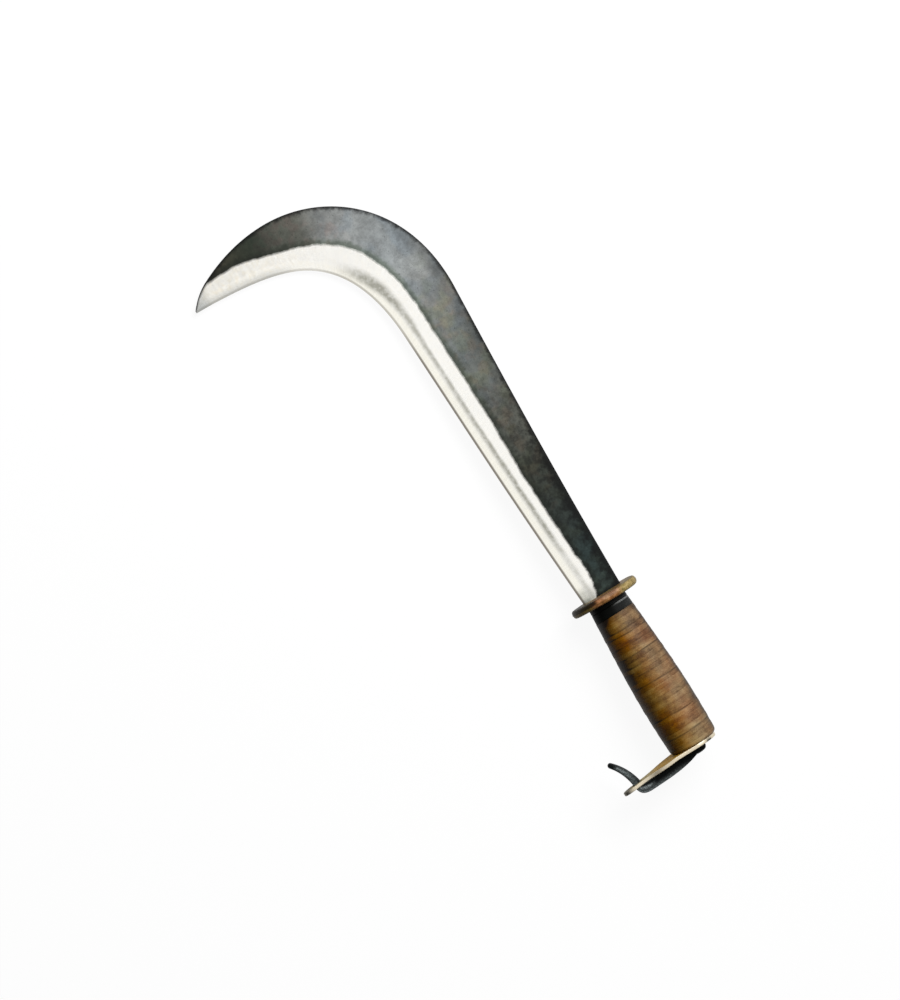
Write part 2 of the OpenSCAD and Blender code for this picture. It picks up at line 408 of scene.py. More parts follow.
@dataclass
class Shell:
    """A closed surface on a grid of two parameters.

    Attributes:
        points: Places in millimetres, as rows by columns by three.
        wrap: How the grid closes.
        marks: Values for the finish at each grid point, by name.
    """

    points: Floats
    wrap: Wrap
    marks: dict[str, Floats] = field(default_factory=dict)

    def aside(self) -> Floats:
        """How far each point lies to the edge's side: the cosine of its angle round the X axis from Y."""
        return np.cos(np.arctan2(self.points[..., 2], self.points[..., 1]))

    def quads(self, first: int) -> Floats:
        """Corner numbers of the quads between neighbouring grid points.

        Args:
            first: Number of the grid's first point.

        Returns:
            Four corner numbers for each quad.
        """
        rows, columns = self.points.shape[:2]
        close_rows, close_columns = self.wrap.value
        row, column = np.meshgrid(
            np.arange(rows if close_rows else rows - 1),
            np.arange(columns if close_columns else columns - 1),
            indexing="ij",
        )
        after, beside = (row + 1) % rows, (column + 1) % columns
        corners = ((row, column), (row, beside), (after, beside), (after, column))
        return np.stack([r * columns + c for r, c in corners], axis=-1).reshape(-1, 4) + first


@dataclass
class Piece:
    """One piece of the object, which rides the part's body and stands for its solids.

    Attributes:
        name: The piece's name.
        shells: Its closed surfaces.
        material: Its finish.
        slot: The record's slot that the finish belongs to; it is not used.
        nodes: The solids that it stands for.
        crease: Angle above which an edge stays sharp, in degrees.
    """

    name: str
    shells: list[Shell]
    material: bpy.types.Material
    slot: str
    nodes: tuple[str, ...]
    crease: float = 35.0

    def mesh(self) -> bpy.types.Mesh:
        """Builds the welded mesh with its marks.

        Returns:
            The mesh, in metres, with its faces outwards.
        """
        counts = np.cumsum([0] + [s.points.shape[0] * s.points.shape[1] for s in self.shells])
        corners = np.concatenate([s.points.reshape(-1, 3) for s in self.shells]) * MM
        quads = np.concatenate([s.quads(first) for s, first in zip(self.shells, counts)])
        mesh = bpy.data.meshes.new(self.name)
        mesh.from_pydata(corners.tolist(), [], quads.tolist())
        for mark in self.shells[0].marks:
            values = np.concatenate([s.marks[mark].ravel() for s in self.shells])
            mesh.attributes.new(mark, "FLOAT", "POINT").data.foreach_set("value", values.astype(np.float32))
        work = bmesh.new()
        work.from_mesh(mesh)
        bmesh.ops.remove_doubles(work, verts=work.verts, dist=WELD)
        bmesh.ops.dissolve_degenerate(work, edges=work.edges, dist=WELD)
        bmesh.ops.recalc_face_normals(work, faces=work.faces)
        work.to_mesh(mesh)
        work.free()
        mesh.shade_smooth()
        mesh.set_sharp_from_angle(angle=np.radians(self.crease))
        mesh.materials.append(self.material)
        return mesh

    def place(self) -> Thing:
        """Adds the piece to the scene, on the part's body.

        Returns:
            The piece's object.
        """
        thing = bpy.data.objects.new(self.name, self.mesh())
        bpy.context.scene.collection.objects.link(thing)
        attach(thing, BODY)
        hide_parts(*self.nodes)
        LOG.info("%s: %d faces, for %s", self.name, len(thing.data.polygons), ", ".join(self.nodes))
        return thing


@dataclass(frozen=True)
class ForgedSteel:
    """Carbon steel, forged hot and ground along its edge.

    Forging leaves a dull grey-black scale on the flats, darkest at the spine and the grind line. Its tone
    along the blade is a painted sheen of a reflected light: light round the bend, dark towards the guard
    and the nose. Painted shade darkens it further at the guard, and towards the spine round the bend.
    Grinding takes it off along a ragged line and leaves a bright bevel, with a duller stripe where two
    passes of the wheel meet, which is a painted reflection, and a grey line along the edge. The measures
    are distances in millimetres: along the blade from the guard, from the spine, past the grind line and
    from the edge.
    """

    name: str = "forged_carbon_steel"
    marks: tuple[str, ...] = ("along", "spine", "grind", "edge")
    noises: tuple[Noise, ...] = (
        Noise("flakes", 5.0, 5.0, 0.62),
        Noise("clouds", 18.0, 4.0, 0.6),
        Noise("flecks", 5.0, 4.0, 0.6),
        Noise("grain", 1.5, 4.0, 0.6),
        Noise("pits", 0.8, 3.0),
        Noise("rust", 9.0, 2.0),
        Noise("moss", 13.0, 2.0),
        Noise("slate", 17.0, 2.0),
        Noise("haze", 9.0, 5.0, 0.65),
        Noise("mottle", 3.0, 3.0, 0.6),
    )
    # Wheel marks lie 0.5 mm apart and run 14 mm across the bevel
    wheel_mm: Point = (0.5, 14.0)

    # Where the wheel took the scale off: the grind line, shifted by flakes that are larger at the guard
    ragged: Steps = (("flakes", Slope(0.25, 0.75, -0.5, 0.5)), ("along", Slope(20.0, 45.0, 2.6, 1.0)))
    bared: Steps = (("line", Fade(-1.2, 1.2)), ("spine", Fade(0.5, 1.1)))

    # Tones of the scale, by the distance from the guard: the light ones round the bend are a painted sheen
    # of a reflected light, and the dark ones at the guard and the nose are where that sheen is absent
    blade_mm: float = 450.0
    tones: tuple[tuple[float, str], ...] = (
        (0.0, "#2c3531"),
        (30.0, "#263130"),
        (60.0, "#282e2b"),
        (100.0, "#31342e"),
        (150.0, "#565751"),
        (200.0, "#6e7371"),
        (240.0, "#838481"),
        (280.0, "#929798"),
        (322.0, "#8a8c8a"),
        (340.0, "#5c5d56"),
        (370.0, "#2c332a"),
        (400.0, "#323026"),
        (430.0, "#2a2a22"),
    )
    # Hues that patch the scale: colour, noise, strength, and where they start and end along the blade
    patches: tuple[tuple[str, str, float, float, float], ...] = (
        ("#80664d", "rust", 0.28, 50.0, 250.0),
        ("#6d7558", "moss", 0.28, -30.0, 270.0),
        ("#68757f", "slate", 0.3, 120.0, 340.0),
        ("#80706a", "rust", 0.45, 300.0, 390.0),
    )
    patch_noise: Point = (0.46, 0.64)
    patch_fade: float = 30.0
    oil: Layer = Layer("#63705f", (("seam", Fade(-9.0, -4.5, 0.0, 0.45)),), Blend.TINT)
    # Dark borders along the spine and the grind line, their widths broken by the flecks
    border_mm: float = 6.0
    taper: Steps = (("along", Slope(100.0, 150.0, 0.5, 1.3)),)
    coarse: Steps = (("flecks", Fade(0.3, 0.7, -0.35, 0.35)), ("along", Fade(110.0, 190.0, 1.0, 0.3)))
    # Painted shade round the bend: the scale darkens towards the spine, away from the painted sheen
    back: Steps = (
        ("spine", Fade(2.0, 16.0, 1.0, 0.0)),
        ("along", Fade(155.0, 200.0)),
        ("along", Fade(270.0, 310.0, 1.0, 0.0)),
    )
    gains: Steps = (
        ("clouds", Fade(0.3, 0.7, 0.84, 1.16)),
        ("coarse", Fade(-1.0, 1.0, 0.0, 2.0)),
        ("grain", Fade(0.3, 0.7, 0.88, 1.12)),
        ("grain", Fade(0.56, 0.7, 1.0, 0.6)),
        ("border", Fade(3.6, 7.8, 0.1, 1.0)),
        ("seam", Fade(-9.0, -4.2, 1.0, 0.55)),
        # painted shade towards the spine round the bend
        ("back", Fade(0.0, 1.0, 1.0, 0.65)),
        # painted contact shade: the scale turns almost black in the first few millimetres from the guard
        ("along", Fade(0.5, 4.0, 0.12, 1.0)),
    )

    # The stripe, a painted dark reflection where the two bevels meet, lies 8 to 9 mm from the edge, nearer
    # round the bend, and drifts with the haze
    shifts: Steps = (
        ("along", Slope(160.0, 230.0, -8.4, -8.9)),
        ("along", Slope(270.0, 312.0, 0.0, 3.6)),
        ("haze", Slope(0.0, 1.0, -0.9, 0.9)),
    )
    # Its reach towards the grind line and towards the edge
    inner: Steps = (("along", Slope(30.0, 130.0, 3.2, 2.4)), ("along", Slope(215.0, 280.0, 0.0, 5.2)))
    outer: Steps = (("along", Slope(225.0, 280.0, -3.8, -5.6)),)
    strength: Steps = (
        ("along", Fade(30.0, 58.0, 0.5, 1.0)),
        ("along", Fade(100.0, 170.0, 1.05, 0.85)),
        ("along", Fade(240.0, 278.0, 1.0, 1.45)),
        ("along", Fade(280.0, 326.0, 1.0, 0.0)),
        ("mottle", Fade(0.3, 0.6, 0.62, 1.0)),
    )
    # The bare steel: warm lower facet, cream nose, dull heel, the stripe's painted reflection, painted
    # shade along the nose's edge and at the point, whetted edge
    ground: str = "#fffefa"
    layers: tuple[Layer, ...] = (
        Layer("#fdfbf1", (("edge", Fade(4.0, 8.0, 1.0, 0.0)), ("along", Fade(300.0, 340.0, 1.0, 0.3)))),
        Layer(
            "#f1e8d3",
            (("along", Fade(320.0, 405.0, 0.2, 0.58)), ("mottle", Fade(0.42, 0.66, 0.4, 1.0))),
        ),
        Layer(
            "#8b8f86",
            (
                ("along", Fade(2.0, 14.0, 1.0, 0.0)),
                ("edge", Fade(3.0, 12.0, 1.0, 0.4)),
                ("haze", Fade(0.3, 0.6, 0.5, 1.0)),
            ),
        ),
        # painted reflection: the duller stripe where the two bevels meet
        Layer("#a9a89d", (("stripe", Slope(0.0, 1.0)),)),
        # painted shade, cool grey, along the nose's edge
        Layer("#a2a7a8", (("edge", Fade(0.5, 7.0, 0.45, 0.0)), ("along", Fade(348.0, 372.0)))),
        # painted shade, cool grey, at the point
        Layer("#a2a7a8", (("along", Fade(412.0, 428.0, 0.0, 0.6)),)),
        Layer(
            "#6f685e",
            (
                ("edge", Fade(0.9, 2.1, 0.88, 0.0)),
                ("along", Fade(205.0, 245.0, 1.0, 0.55)),
                ("along", Fade(315.0, 340.0, 1.0, 0.7)),
            ),
        ),
    )
    shine: Steps = (
        ("mottle", Fade(0.3, 0.7, 0.97, 1.0)),
        ("haze", Fade(0.3, 0.7, 0.98, 1.0)),
        ("wheel", Fade(0.3, 0.7, 0.94, 1.0)),
    )

    # The surface turns to metal before its colour turns bright
    metal: Steps = (("bare", Fade(0.0, 0.3)),)
    scale_rough: Steps = (("pits", Slope(0.0, 1.0, 0.5, 0.75)),)
    steel_rough: Steps = (("wheel", Slope(0.0, 1.0, 0.18, 0.3)),)
    depth: Point = (0.4, 0.08)
    gloss: float = 0.12

    def bare(self, add: AddNode, at: Measures) -> Node:
        """Finds where the wheel took the scale off: past the grind line, as ragged as the scale's flakes.

        Args:
            add: Adds a node to the material.
            at: The measures, which gain the ragged line.

        Returns:
            A node that is 1 on bare steel and 0 on scale.
        """
        at["line"] = add("Math", {0: combine(add, at, self.ragged), 1: at["grind"]}, operation="ADD")
        return combine(add, at, self.bared)

    def scale(self, add: AddNode, at: Measures) -> Node:
        """Colours the scale: its tone along the blade, patches of other hues, clouds, grain and borders.

        Args:
            add: Adds a node to the material.
            at: The measures, which gain those of the borders.

        Returns:
            A node with the colour.
        """
        share = add("Math", {0: at["along"], 1: self.blade_mm}, operation="DIVIDE")
        stops = tuple((mm / self.blade_mm, code) for mm, code in self.tones)
        colour = add("ValToRGB", {0: share}, stops=stops)
        for code, noise, most, start, end in self.patches:
            mask = (
                (noise, Fade(*self.patch_noise, 0.0, most)),
                ("along", Fade(start, start + self.patch_fade)),
                ("along", Fade(end - self.patch_fade, end, 1.0, 0.0)),
            )
            colour = lay(add, at, colour, (Layer(code, mask, Blend.TINT),))
        rim = combine(add, at, self.taper, result=at["spine"])
        for name, swing, base in (("border", self.border_mm, rim), ("seam", -self.border_mm, at["grind"])):
            at[name] = add("Math", {0: at["flecks"], 1: swing, 2: base}, operation="MULTIPLY_ADD")
        at["coarse"] = combine(add, at, self.coarse)
        at["back"] = combine(add, at, self.back)
        colour = lay(add, at, colour, (self.oil,))
        return add("HueSaturation", {"Color": colour, "Value": combine(add, at, self.gains)})

    def steel(self, add: AddNode, at: Measures) -> Node:
        """Colours the bare steel: striped in the middle with a painted reflection, whetted at the edge,
        paler at the nose, with painted shade along the nose's edge and at the point.

        Args:
            add: Adds a node to the material.
            at: The measures, which gain those of the stripe.

        Returns:
            A node with the colour.
        """
        at["away"] = combine(add, at, self.shifts, Join.SUM, at["edge"])
        inner = combine(add, at, self.inner, Join.SUM)
        outer = combine(add, at, self.outer)
        sides = (("away", Fade(0.0, inner, 1.0, 0.0)), ("away", Fade(outer, 0.0)))
        at["stripe"] = combine(add, at, sides + self.strength)
        colour = lay(add, at, linear(self.ground), self.layers)
        return add("HueSaturation", {"Color": colour, "Value": combine(add, at, self.shine)})

    def material(self) -> bpy.types.Material:
        """Builds the finish from the blade's marks.

        Returns:
            The material.
        """
        material, add = new_material(self.name)
        at = measures(add, self.marks, self.noises)
        plan = add("CombineXYZ", {"X": at["along"], "Y": at["edge"]})
        drawn = add("VectorMath", {0: plan, 1: (*self.wheel_mm, 1.0)}, operation="DIVIDE")
        at["wheel"] = add("TexNoise", {"Vector": drawn, "Scale": 1.0, "Detail": 2.0})
        bare = at["bare"] = self.bare(add, at)
        sides = {COLOUR_A: self.scale(add, at), COLOUR_B: self.steel(add, at)}
        colour = add("Mix", {FACTOR: bare, **sides}, data_type="RGBA")
        sides = {NUMBER_A: at["pits"], NUMBER_B: at["wheel"]}
        relief = add("Mix", {FACTOR: bare, **sides}, data_type="FLOAT")
        metal = combine(add, at, self.metal)
        sides = {NUMBER_A: combine(add, at, self.scale_rough), NUMBER_B: combine(add, at, self.steel_rough)}
        rough = add("Mix", {FACTOR: metal, **sides}, data_type="FLOAT")
        surface = {"Base Color": colour, "Metallic": metal, "Roughness": rough}
        close(add, surface, relief, self.depth, self.gloss)
        return material


@dataclass(frozen=True)
class WaxedLeather:
    """Vegetable-tanned sole leather, cut into discs, turned on its edge and waxed.

    The cut edge shows the hide's layers as fine streaks round the grip. Wax and hands leave a soft gloss,
    dirt gathers in the joints and sweat darkens one side. A painted sheen lightens the side towards the
    light, painted shade darkens the side away from it and the rim, and a painted shadow falls behind the
    ferrule.
    """

    name: str
    dark: str
    middle: str
    light: str
    dirt: str
    hue_swing: float = 0.012
    hue_fade: float = 0.08
    blotch_mm: float = 10.0
    streak_mm: float = 1.1
    run_mm: float = 12.0
    marks: tuple[str, ...] = ("tone", "warm", "dirt", "soil", "grime", "polish")
    # What moves the hide's shade, which its tone sets, and its hue
    tone_step: float = 0.17
    mean: float = 0.5
    shades: Place = (0.05, 0.5, 0.95)
    swings: Steps = (
        ("streaks", Slope(0.25, 0.75, -0.25, 0.25)),
        ("blotch", Slope(0.25, 0.75, -0.4, 0.4)),
        ("pores", Slope(0.25, 0.75, -0.2, 0.2)),
    )
    ruddy: Steps = (("tan", Slope(0.3, 0.7, -0.5, 0.5)),)
    # Dirt breaks off along the joints, and sweat reaches in along the streaks; the same layer lays a
    # painted shadow behind the ferrule and on the guard
    seams: Steps = (("dirt", Fade(0.0, 1.0, 0.0, 0.6)), ("blotch", Fade(0.38, 0.6, 0.1, 1.0)))
    reach: Steps = (("blotch", Slope(0.0, 1.0, 0.0, 0.5)), ("streaks", Slope(0.0, 1.0, 0.0, 0.9)))
    sweat: Steps = (("reach", Fade(1.05, 1.5, 0.0, 0.92)),)
    # A painted sheen pales the leather on the side towards the light, and painted shade darkens it
    strength: Steps = (("polish", Fade(-1.0, 1.0, 1.12, 0.8)),)
    gains: Steps = (("grime", Fade(0.0, 1.0, 1.0, 0.3)), ("polish", Fade(-1.0, 1.0, 0.92, 1.12)))
    rough: Steps = (("blotch", Slope(0.0, 1.0, 0.38, 0.58)),)
    pore_relief: float = 0.5
    depth: Point = (0.8, 0.15)
    gloss: float = 0.12

    def hide(self, add: AddNode, at: Measures) -> Node:
        """Colours the clean hide: its own tone, streaked and blotched, between olive and orange.

        Args:
            add: Adds a node to the material.
            at: The measures.

        Returns:
            A node with the colour.
        """
        level = add("Math", {0: at["tone"], 1: self.tone_step, 2: self.mean}, operation="MULTIPLY_ADD")
        level = combine(add, at, self.swings, Join.SUM, level)
        stops = tuple(zip(self.shades, (self.dark, self.middle, self.light)))
        shade = add("ValToRGB", {0: level}, stops=stops)
        olive, orange = (
            {"Color": shade, "Hue": 0.5 + way * self.hue_swing, "Saturation": 1.0 - way * self.hue_fade}
            for way in (1, -1)
        )
        hues = {COLOUR_A: add("HueSaturation", olive), COLOUR_B: add("HueSaturation", orange)}
        ruddy = combine(add, at, self.ruddy, Join.SUM, at["warm"])
        return add("Mix", {FACTOR: ruddy, **hues}, data_type="RGBA")

    def material(self) -> bpy.types.Material:
        """Builds the finish from the piece's marks: tone, warmth, dirt in joints, sweat with a painted
        shadow, painted shade and a painted sheen.

        Returns:
            The material.
        """
        material, add = new_material(self.name)
        run = self.run_mm / self.streak_mm
        noises = (
            Noise("streaks", self.streak_mm, 6.0, 0.7, (1.0, run, run)),
            Noise("blotch", self.blotch_mm, 4.0, 0.6),
            Noise("pores", 0.7, 3.0, 0.6),
            Noise("tan", 14.0, 3.0),
        )
        at = measures(add, self.marks, noises)
        at["reach"] = combine(add, at, self.reach, Join.SUM, at["soil"])
        # the second layer lays the sweat's dirt, and with it a painted shadow behind the ferrule and on the
        # guard
        layers = (Layer(self.dirt, self.seams), Layer(self.dirt, self.sweat))
        colour = lay(add, at, self.hide(add, at), layers)
        # a painted sheen pales and lightens the side towards the light, and painted shade darkens the
        # leather
        wear = {"Saturation": combine(add, at, self.strength), "Value": combine(add, at, self.gains)}
        colour = add("HueSaturation", {"Color": colour, **wear})
        surface = {"Base Color": colour, "Roughness": combine(add, at, self.rough)}
        heights = {0: at["pores"], 1: self.pore_relief, 2: at["streaks"]}
        relief = add("Math", heights, operation="MULTIPLY_ADD")
        close(add, surface, relief, self.depth, self.gloss)
        return material


@dataclass(frozen=True)
class BlackenedSteel:
    """Steel blackened in hot oil: a satin black skin, grey where handled and where a highlight is painted.

    Attributes:
        name: The material's name.
        black: Colour of the skin.
        rubbed: Colour where it is handled, and of its painted highlights.
        speckle: How far the handled and highlighted places break up into specks, from 0 to 1.
        hammer_mm: Spacing of the hammer's dents, or 0 for a turned piece.
    """

    name: str
    black: str
    rubbed: str
    speckle: float
    hammer_mm: float = 0.0
    marks: tuple[str, ...] = ("wear",)
    noises: tuple[Noise, ...] = (Noise("grain", 0.9, 4.0, 0.6), Noise("patch", 6.0, 3.0))
    specks: Point = (0.44, 0.62)
    rough: Steps = (("patch", Slope(0.0, 1.0, 0.3, 0.52)),)
    dent_soft: float = 0.8
    dent_relief: float = 2.0
    depth: Point = (0.4, 0.15)
    gloss: float = 0.03

    def material(self) -> bpy.types.Material:
        """Builds the finish from the piece's one mark, of handling and of painted highlights.

        Returns:
            The material.
        """
        material, add = new_material(self.name)
        at = measures(add, self.marks, self.noises)
        # handled places and painted highlights turn the black skin grey, broken into specks
        mask = (("grain", Fade(*self.specks, 1.0 - self.speckle, 1.0)), ("wear", Fade(0.0, 1.0)))
        colour = lay(add, at, linear(self.black), (Layer(self.rubbed, mask),))
        relief = at["grain"]
        if self.hammer_mm:
            size = {"Scale": PER_M / self.hammer_mm, "Smoothness": self.dent_soft}
            dents = add("TexVoronoi", {"Vector": at["place"], **size}, feature="SMOOTH_F1")
            relief = add("Math", {0: dents, 1: self.dent_relief, 2: relief}, operation="MULTIPLY_ADD")
        surface = {"Base Color": colour, "Roughness": combine(add, at, self.rough)}
        close(add, surface, relief, self.depth, self.gloss)
        return material


@dataclass(frozen=True)
class BrightPlate:
    """Rolled steel plate: straw-yellow on its faces, a painted reflection of the leather grip, white where
    its rim is bright from rubbing.

    The faces bloom brown in spots, and their painted reflection pales towards the tongue, whose end is
    tarnished grey.
    """

    name: str = "straw_zinc_plate"
    marks: tuple[str, ...] = ("broad", "rubbed", "tarnish", "stain")
    noises: tuple[Noise, ...] = (
        Noise("cloud", 5.0, 4.0),
        Noise("spots", 2.2, 5.0, 0.65),
        Noise("brushed", 0.4, 2.0, 0.5, (1.0, 37.5, 1.0)),
    )
    rim: str = "#ddd1b8"
    layers: tuple[Layer, ...] = (
        # painted reflection of the leather grip on the broad faces
        Layer("#b58a22", (("broad", Slope(0.0, 1.0)),)),
        # the painted reflection pales towards the tongue
        Layer("#b3ab84", (("rubbed", Fade(0.0, 1.0, 0.0, 0.8)), ("broad", Fade(0.0, 1.0)))),
        Layer(
            "#6e561f",
            (
                ("spots", Fade(0.42, 0.66, 0.1, 0.75)),
                ("cloud", Fade(0.35, 0.6, 0.45, 1.0)),
                ("broad", Fade(0.0, 1.0)),
            ),
        ),
        Layer("#5d5b54", (("cloud", Fade(0.35, 0.65, 0.8, 1.0)), ("tarnish", Fade(0.0, 1.0)))),
        # a painted dark reflection on the rim
        Layer("#2b2d2a", (("stain", Slope(0.0, 1.0)),)),
    )
    rough: Steps = (("cloud", Slope(0.0, 1.0, 0.24, 0.42)), ("broad", Slope(0.0, 1.0, 0.0, 0.3)))
    metal: float = 0.5
    depth: Point = (0.3, 0.05)
    gloss: float = 0.05

    def material(self) -> bpy.types.Material:
        """Builds the finish from the plate's marks: its broad faces with a painted reflection of the grip
        that pales towards the tongue, tarnish, and a painted dark reflection.

        Returns:
            The material.
        """
        material, add = new_material(self.name)
        at = measures(add, self.marks, self.noises)
        colour = lay(add, at, linear(self.rim), self.layers)
        rough = combine(add, at, self.rough, Join.SUM)
        surface = {"Base Color": colour, "Metallic": self.metal, "Roughness": rough}
        close(add, surface, at["brushed"], self.depth, self.gloss)
        return material


@dataclass
class Blade:
    """The forged blade: a hooked body between three lines, its tang and its riveted end.

    The spine, the grind line and the edge run side by side through the same four stretches. A section runs
    from the spine over one cheek to the edge and back over the other.
    """

    length: float = 344.0
    belly_at: float = 240.0
    spine_at_guard: float = 14.6
    spine_at_belly: float = 24.7
    edge_at_guard: float = 15.0
    edge_at_belly: float = 23.4
    edge_lead: float = 14.0
    crown_rise: float = 66.5
    crown_w: float = 38.5
    crown_flat: float = 21.4
    tip_reach: float = 139.0
    tip_back: float = 27.3
    tip_grind: float = 16.2
    nose_angle: float = 131.0
    edge_bow: float = 1.3
    point_w: float = 1.4
    grind_at_guard: float = 4.8
    grind_at_belly: float = 5.0
    least_flat: float = 0.3
    # Angles at which each line leaves and reaches the ends of its stretches, and the pulls of its handles
    spine_angles: tuple[Point, ...] = ((-1.2, -3.2), (-2.0, 89.0), (89.0, 116.0), (116.0, 142.0))
    spine_pulls: tuple[Point, ...] = ((0.4, 0.3), (0.49, 0.33), (0.32, 0.37), (0.33, 0.33))
    edge_angles: tuple[Point, ...] = ((3.2, 1.8), (1.8, 68.0), (68.0, 86.0), (86.0, 88.0))
    edge_pulls: tuple[Point, ...] = ((0.42, 0.34), (0.34, 0.4), (0.32, 0.33), (0.33, 0.33))
    grind_angles: tuple[Point, ...] = ((-60.0, -1.0), (1.0, 76.0), (76.0, 100.0), (116.0, 142.0))
    grind_pulls: tuple[Point, ...] = ((1.0 / 30.0, 0.4), (0.19, 0.59), (0.36, 0.5), (0.33, 0.33))
    thickness: float = 5.0
    nose_t: float = 3.2
    tip_t: float = 0.8
    edge_t: float = 0.4
    # How far the edge stands out past the bevels, as a share of its thickness
    edge_out: float = 1.0 / 3.0
    facet_w: float = 7.5
    # The most that the lower bevel takes of the two bevels' width
    facet_most: float = 0.5
    bevel_swell: float = 1.12
    spine_round: float = 0.9
    round_share: float = 0.4
    dent_lengths: Numbers = (61.0, 34.0, 19.0)
    dent_heights: Numbers = (0.05, 0.04, 0.02)
    wander_lengths: Numbers = (31.0, 17.0, 9.0)
    wander_heights: Numbers = (0.12, 0.12, 0.1)
    # Where the grind line starts to wander, and where it and the dents calm down
    wander_start: Fade = Fade(5.0, 25.0)
    calm: Fade = Fade(330.0, 400.0, 1.0, 0.0)
    # How far the grind line strays towards the edge, at distances from the guard
    stray_at: Numbers = (0, 15, 30, 60, 100, 150, 200, 240, 280, 310, 340, 370, 400, 425)
    stray: Numbers = (0, -1.4, -0.5, 0.6, 0.9, -1.5, -1.2, -0.2, 0.4, 0.1, 1.1, 1.7, 2.4, 1.0)
    most_stray: float = 0.25
    tang_w: float = 9.0
    tang_t: float = 4.4
    tang_draw: float = 0.5
    rivet_reach: float = 7.2
    rivet_d: float = 6.0
    head_d: float = 9.5
    head_h: float = 2.0
    dome_h: float = 0.7
    far: float = 30.0
    line_steps: tuple[int, ...] = (90, 150, 90, 40)
    fine_steps: int = 600
    flat_columns: int = 22
    bevel_columns: int = 16
    facet_columns: int = 12
    round_columns: int = 4
    dome_rows: int = 8
    rivet_columns: int = 48

    def __post_init__(self) -> None:
        """Takes the places along the tang from the part's solids."""
        self.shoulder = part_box("guard_disc")[1].x / MM
        self.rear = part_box("pommel_plate")[1].x / MM
        self.eye = self.rear - self.rivet_reach

    def line(self, knots: tuple[Any, ...], angles: tuple[Point, ...], pulls: tuple[Point, ...]) -> Floats:
        """Points along one line, evenly spaced on each of its stretches.

        Args:
            knots: The stretches' ends.
            angles: For each stretch the angles at which it leaves and reaches its ends.
            pulls: For each stretch the pulls of its two handles.

        Returns:
            The points, with the last stretch's end.
        """
        fine = np.linspace(0.0, 1.0, self.fine_steps)
        ends = zip(knots, knots[1:], angles, pulls)
        stretches = [Stretch(start, leave, end, reach, pull) for start, end, (leave, reach), pull in ends]
        runs = [even_steps(s.points(fine), np.arange(n) / n) for s, n in zip(stretches, self.line_steps)]
        return np.concatenate([*runs, [np.array(knots[-1])]])

    def lines(self) -> tuple[Floats, Floats, Floats]:
        """Works out the spine, the grind line and the edge.

        Returns:
            The points of each line, station by station.
        """
        belly = self.shoulder + self.belly_at
        crown = self.shoulder + self.length
        tip = np.array([crown - self.tip_back, self.tip_reach])
        share = (self.spine_at_belly + self.grind_at_belly) / (self.spine_at_belly + self.edge_at_belly)
        nose = tip - heading(self.nose_angle) * self.tip_grind / np.sin(np.radians(self.nose_angle))
        half = np.array([self.point_w / 2, 0.0])
        spine = (
            (self.shoulder, -self.spine_at_guard),
            (belly, -self.spine_at_belly),
            (crown, self.crown_rise),
            nose,
            tip + half,
        )
        edge = (
            (self.shoulder, self.edge_at_guard),
            (belly - self.edge_lead, self.edge_at_belly),
            (crown - self.crown_w, self.crown_rise),
            tip - np.array([self.edge_bow, self.tip_grind]),
            tip - half,
        )
        grind = (
            (self.shoulder, self.grind_at_guard),
            (belly - self.edge_lead * share, self.grind_at_belly),
            (crown - self.crown_flat, self.crown_rise),
            nose - np.array([self.least_flat, 0.0]),
            tip + half / 2,
        )
        return (
            self.line(spine, self.spine_angles, self.spine_pulls),
            self.line(grind, self.grind_angles, self.grind_pulls),
            self.line(edge, self.edge_angles, self.edge_pulls),
        )

    def flat_t(self) -> Floats:
        """Thickness of the flat: even along the straight run, then falling to the nose and the point.

        Returns:
            One thickness for each station.
        """
        guard, belly, _, nose, point = np.cumsum((0,) + self.line_steps)
        heights = (self.thickness, self.thickness, self.nose_t, self.tip_t)
        return np.interp(np.arange(point + 1), (guard, belly, nose, point), heights)

    def body(self) -> Shell:
        """Sweeps the section along the three lines.

        Across a cheek the half thickness is even from the spine to the grind line, then falls in two flat
        bevels to the edge. A sum of waves dents the flat, and another lets the grind line wander.

        Returns:
            The blade's surface with its marks.
        """
        spine, grind, edge = self.lines()
        along = run_length((spine + edge) / 2)[:, None]
        t = self.flat_t()[:, None]
        inward = grind - spine
        flat_w = np.linalg.norm(inward, axis=1)[:, None]
        inward = inward / flat_w
        calm = self.calm.at(along)
        wander = waves(along, self.wander_lengths, self.wander_heights) * calm * self.wander_start.at(along)
        shift = wander + np.interp(along, self.stray_at, self.stray)
        bevel_w = np.linalg.norm(edge - grind, axis=1)[:, None]
        grind = grind + inward * np.clip(shift, -flat_w * self.most_stray, bevel_w * self.most_stray)
        flat_w = np.linalg.norm(grind - spine, axis=1)[:, None]
        slope = edge - grind
        bevel_w = np.linalg.norm(slope, axis=1)[:, None]
        slope = slope / bevel_w
        corner = np.minimum(self.spine_round, np.minimum(flat_w, t) * self.round_share)
        thin = np.minimum(self.edge_t, t / 2)

        # Distances from the spine over its corner and the flat, then from the grind line down the bevels
        turn = np.linspace(0.0, QUARTER_TURN, self.round_columns)[None, :]
        corner_in = corner * (1 - np.cos(turn))
        corner_z = t / 2 - corner * (1 - np.sin(turn))
        flat_share = np.linspace(0.0, 1.0, self.flat_columns)[None, 1:]
        flat_in = corner + (flat_w - corner) * flat_share
        facet = np.minimum(self.facet_w / bevel_w, self.facet_most)
        upper = (1 - facet) * np.linspace(0.0, 1.0, self.bevel_columns)[None, 1:]
        lower = 1 - facet * (1 - np.linspace(0.0, 1.0, self.facet_columns)[None, 1:])
        down = np.concatenate([upper, lower], axis=1)
        facet_z = (thin + (t - thin) * facet * self.bevel_swell) / 2
        upper_z = t / 2 + (facet_z - t / 2) * upper / (1 - facet)
        lower_z = thin / 2 + (facet_z - thin / 2) * (1 - lower) / facet
        dents = waves(along, self.dent_lengths, self.dent_heights) * np.sin(np.pi * flat_share) * calm
        flat_z = t / 2 + dents

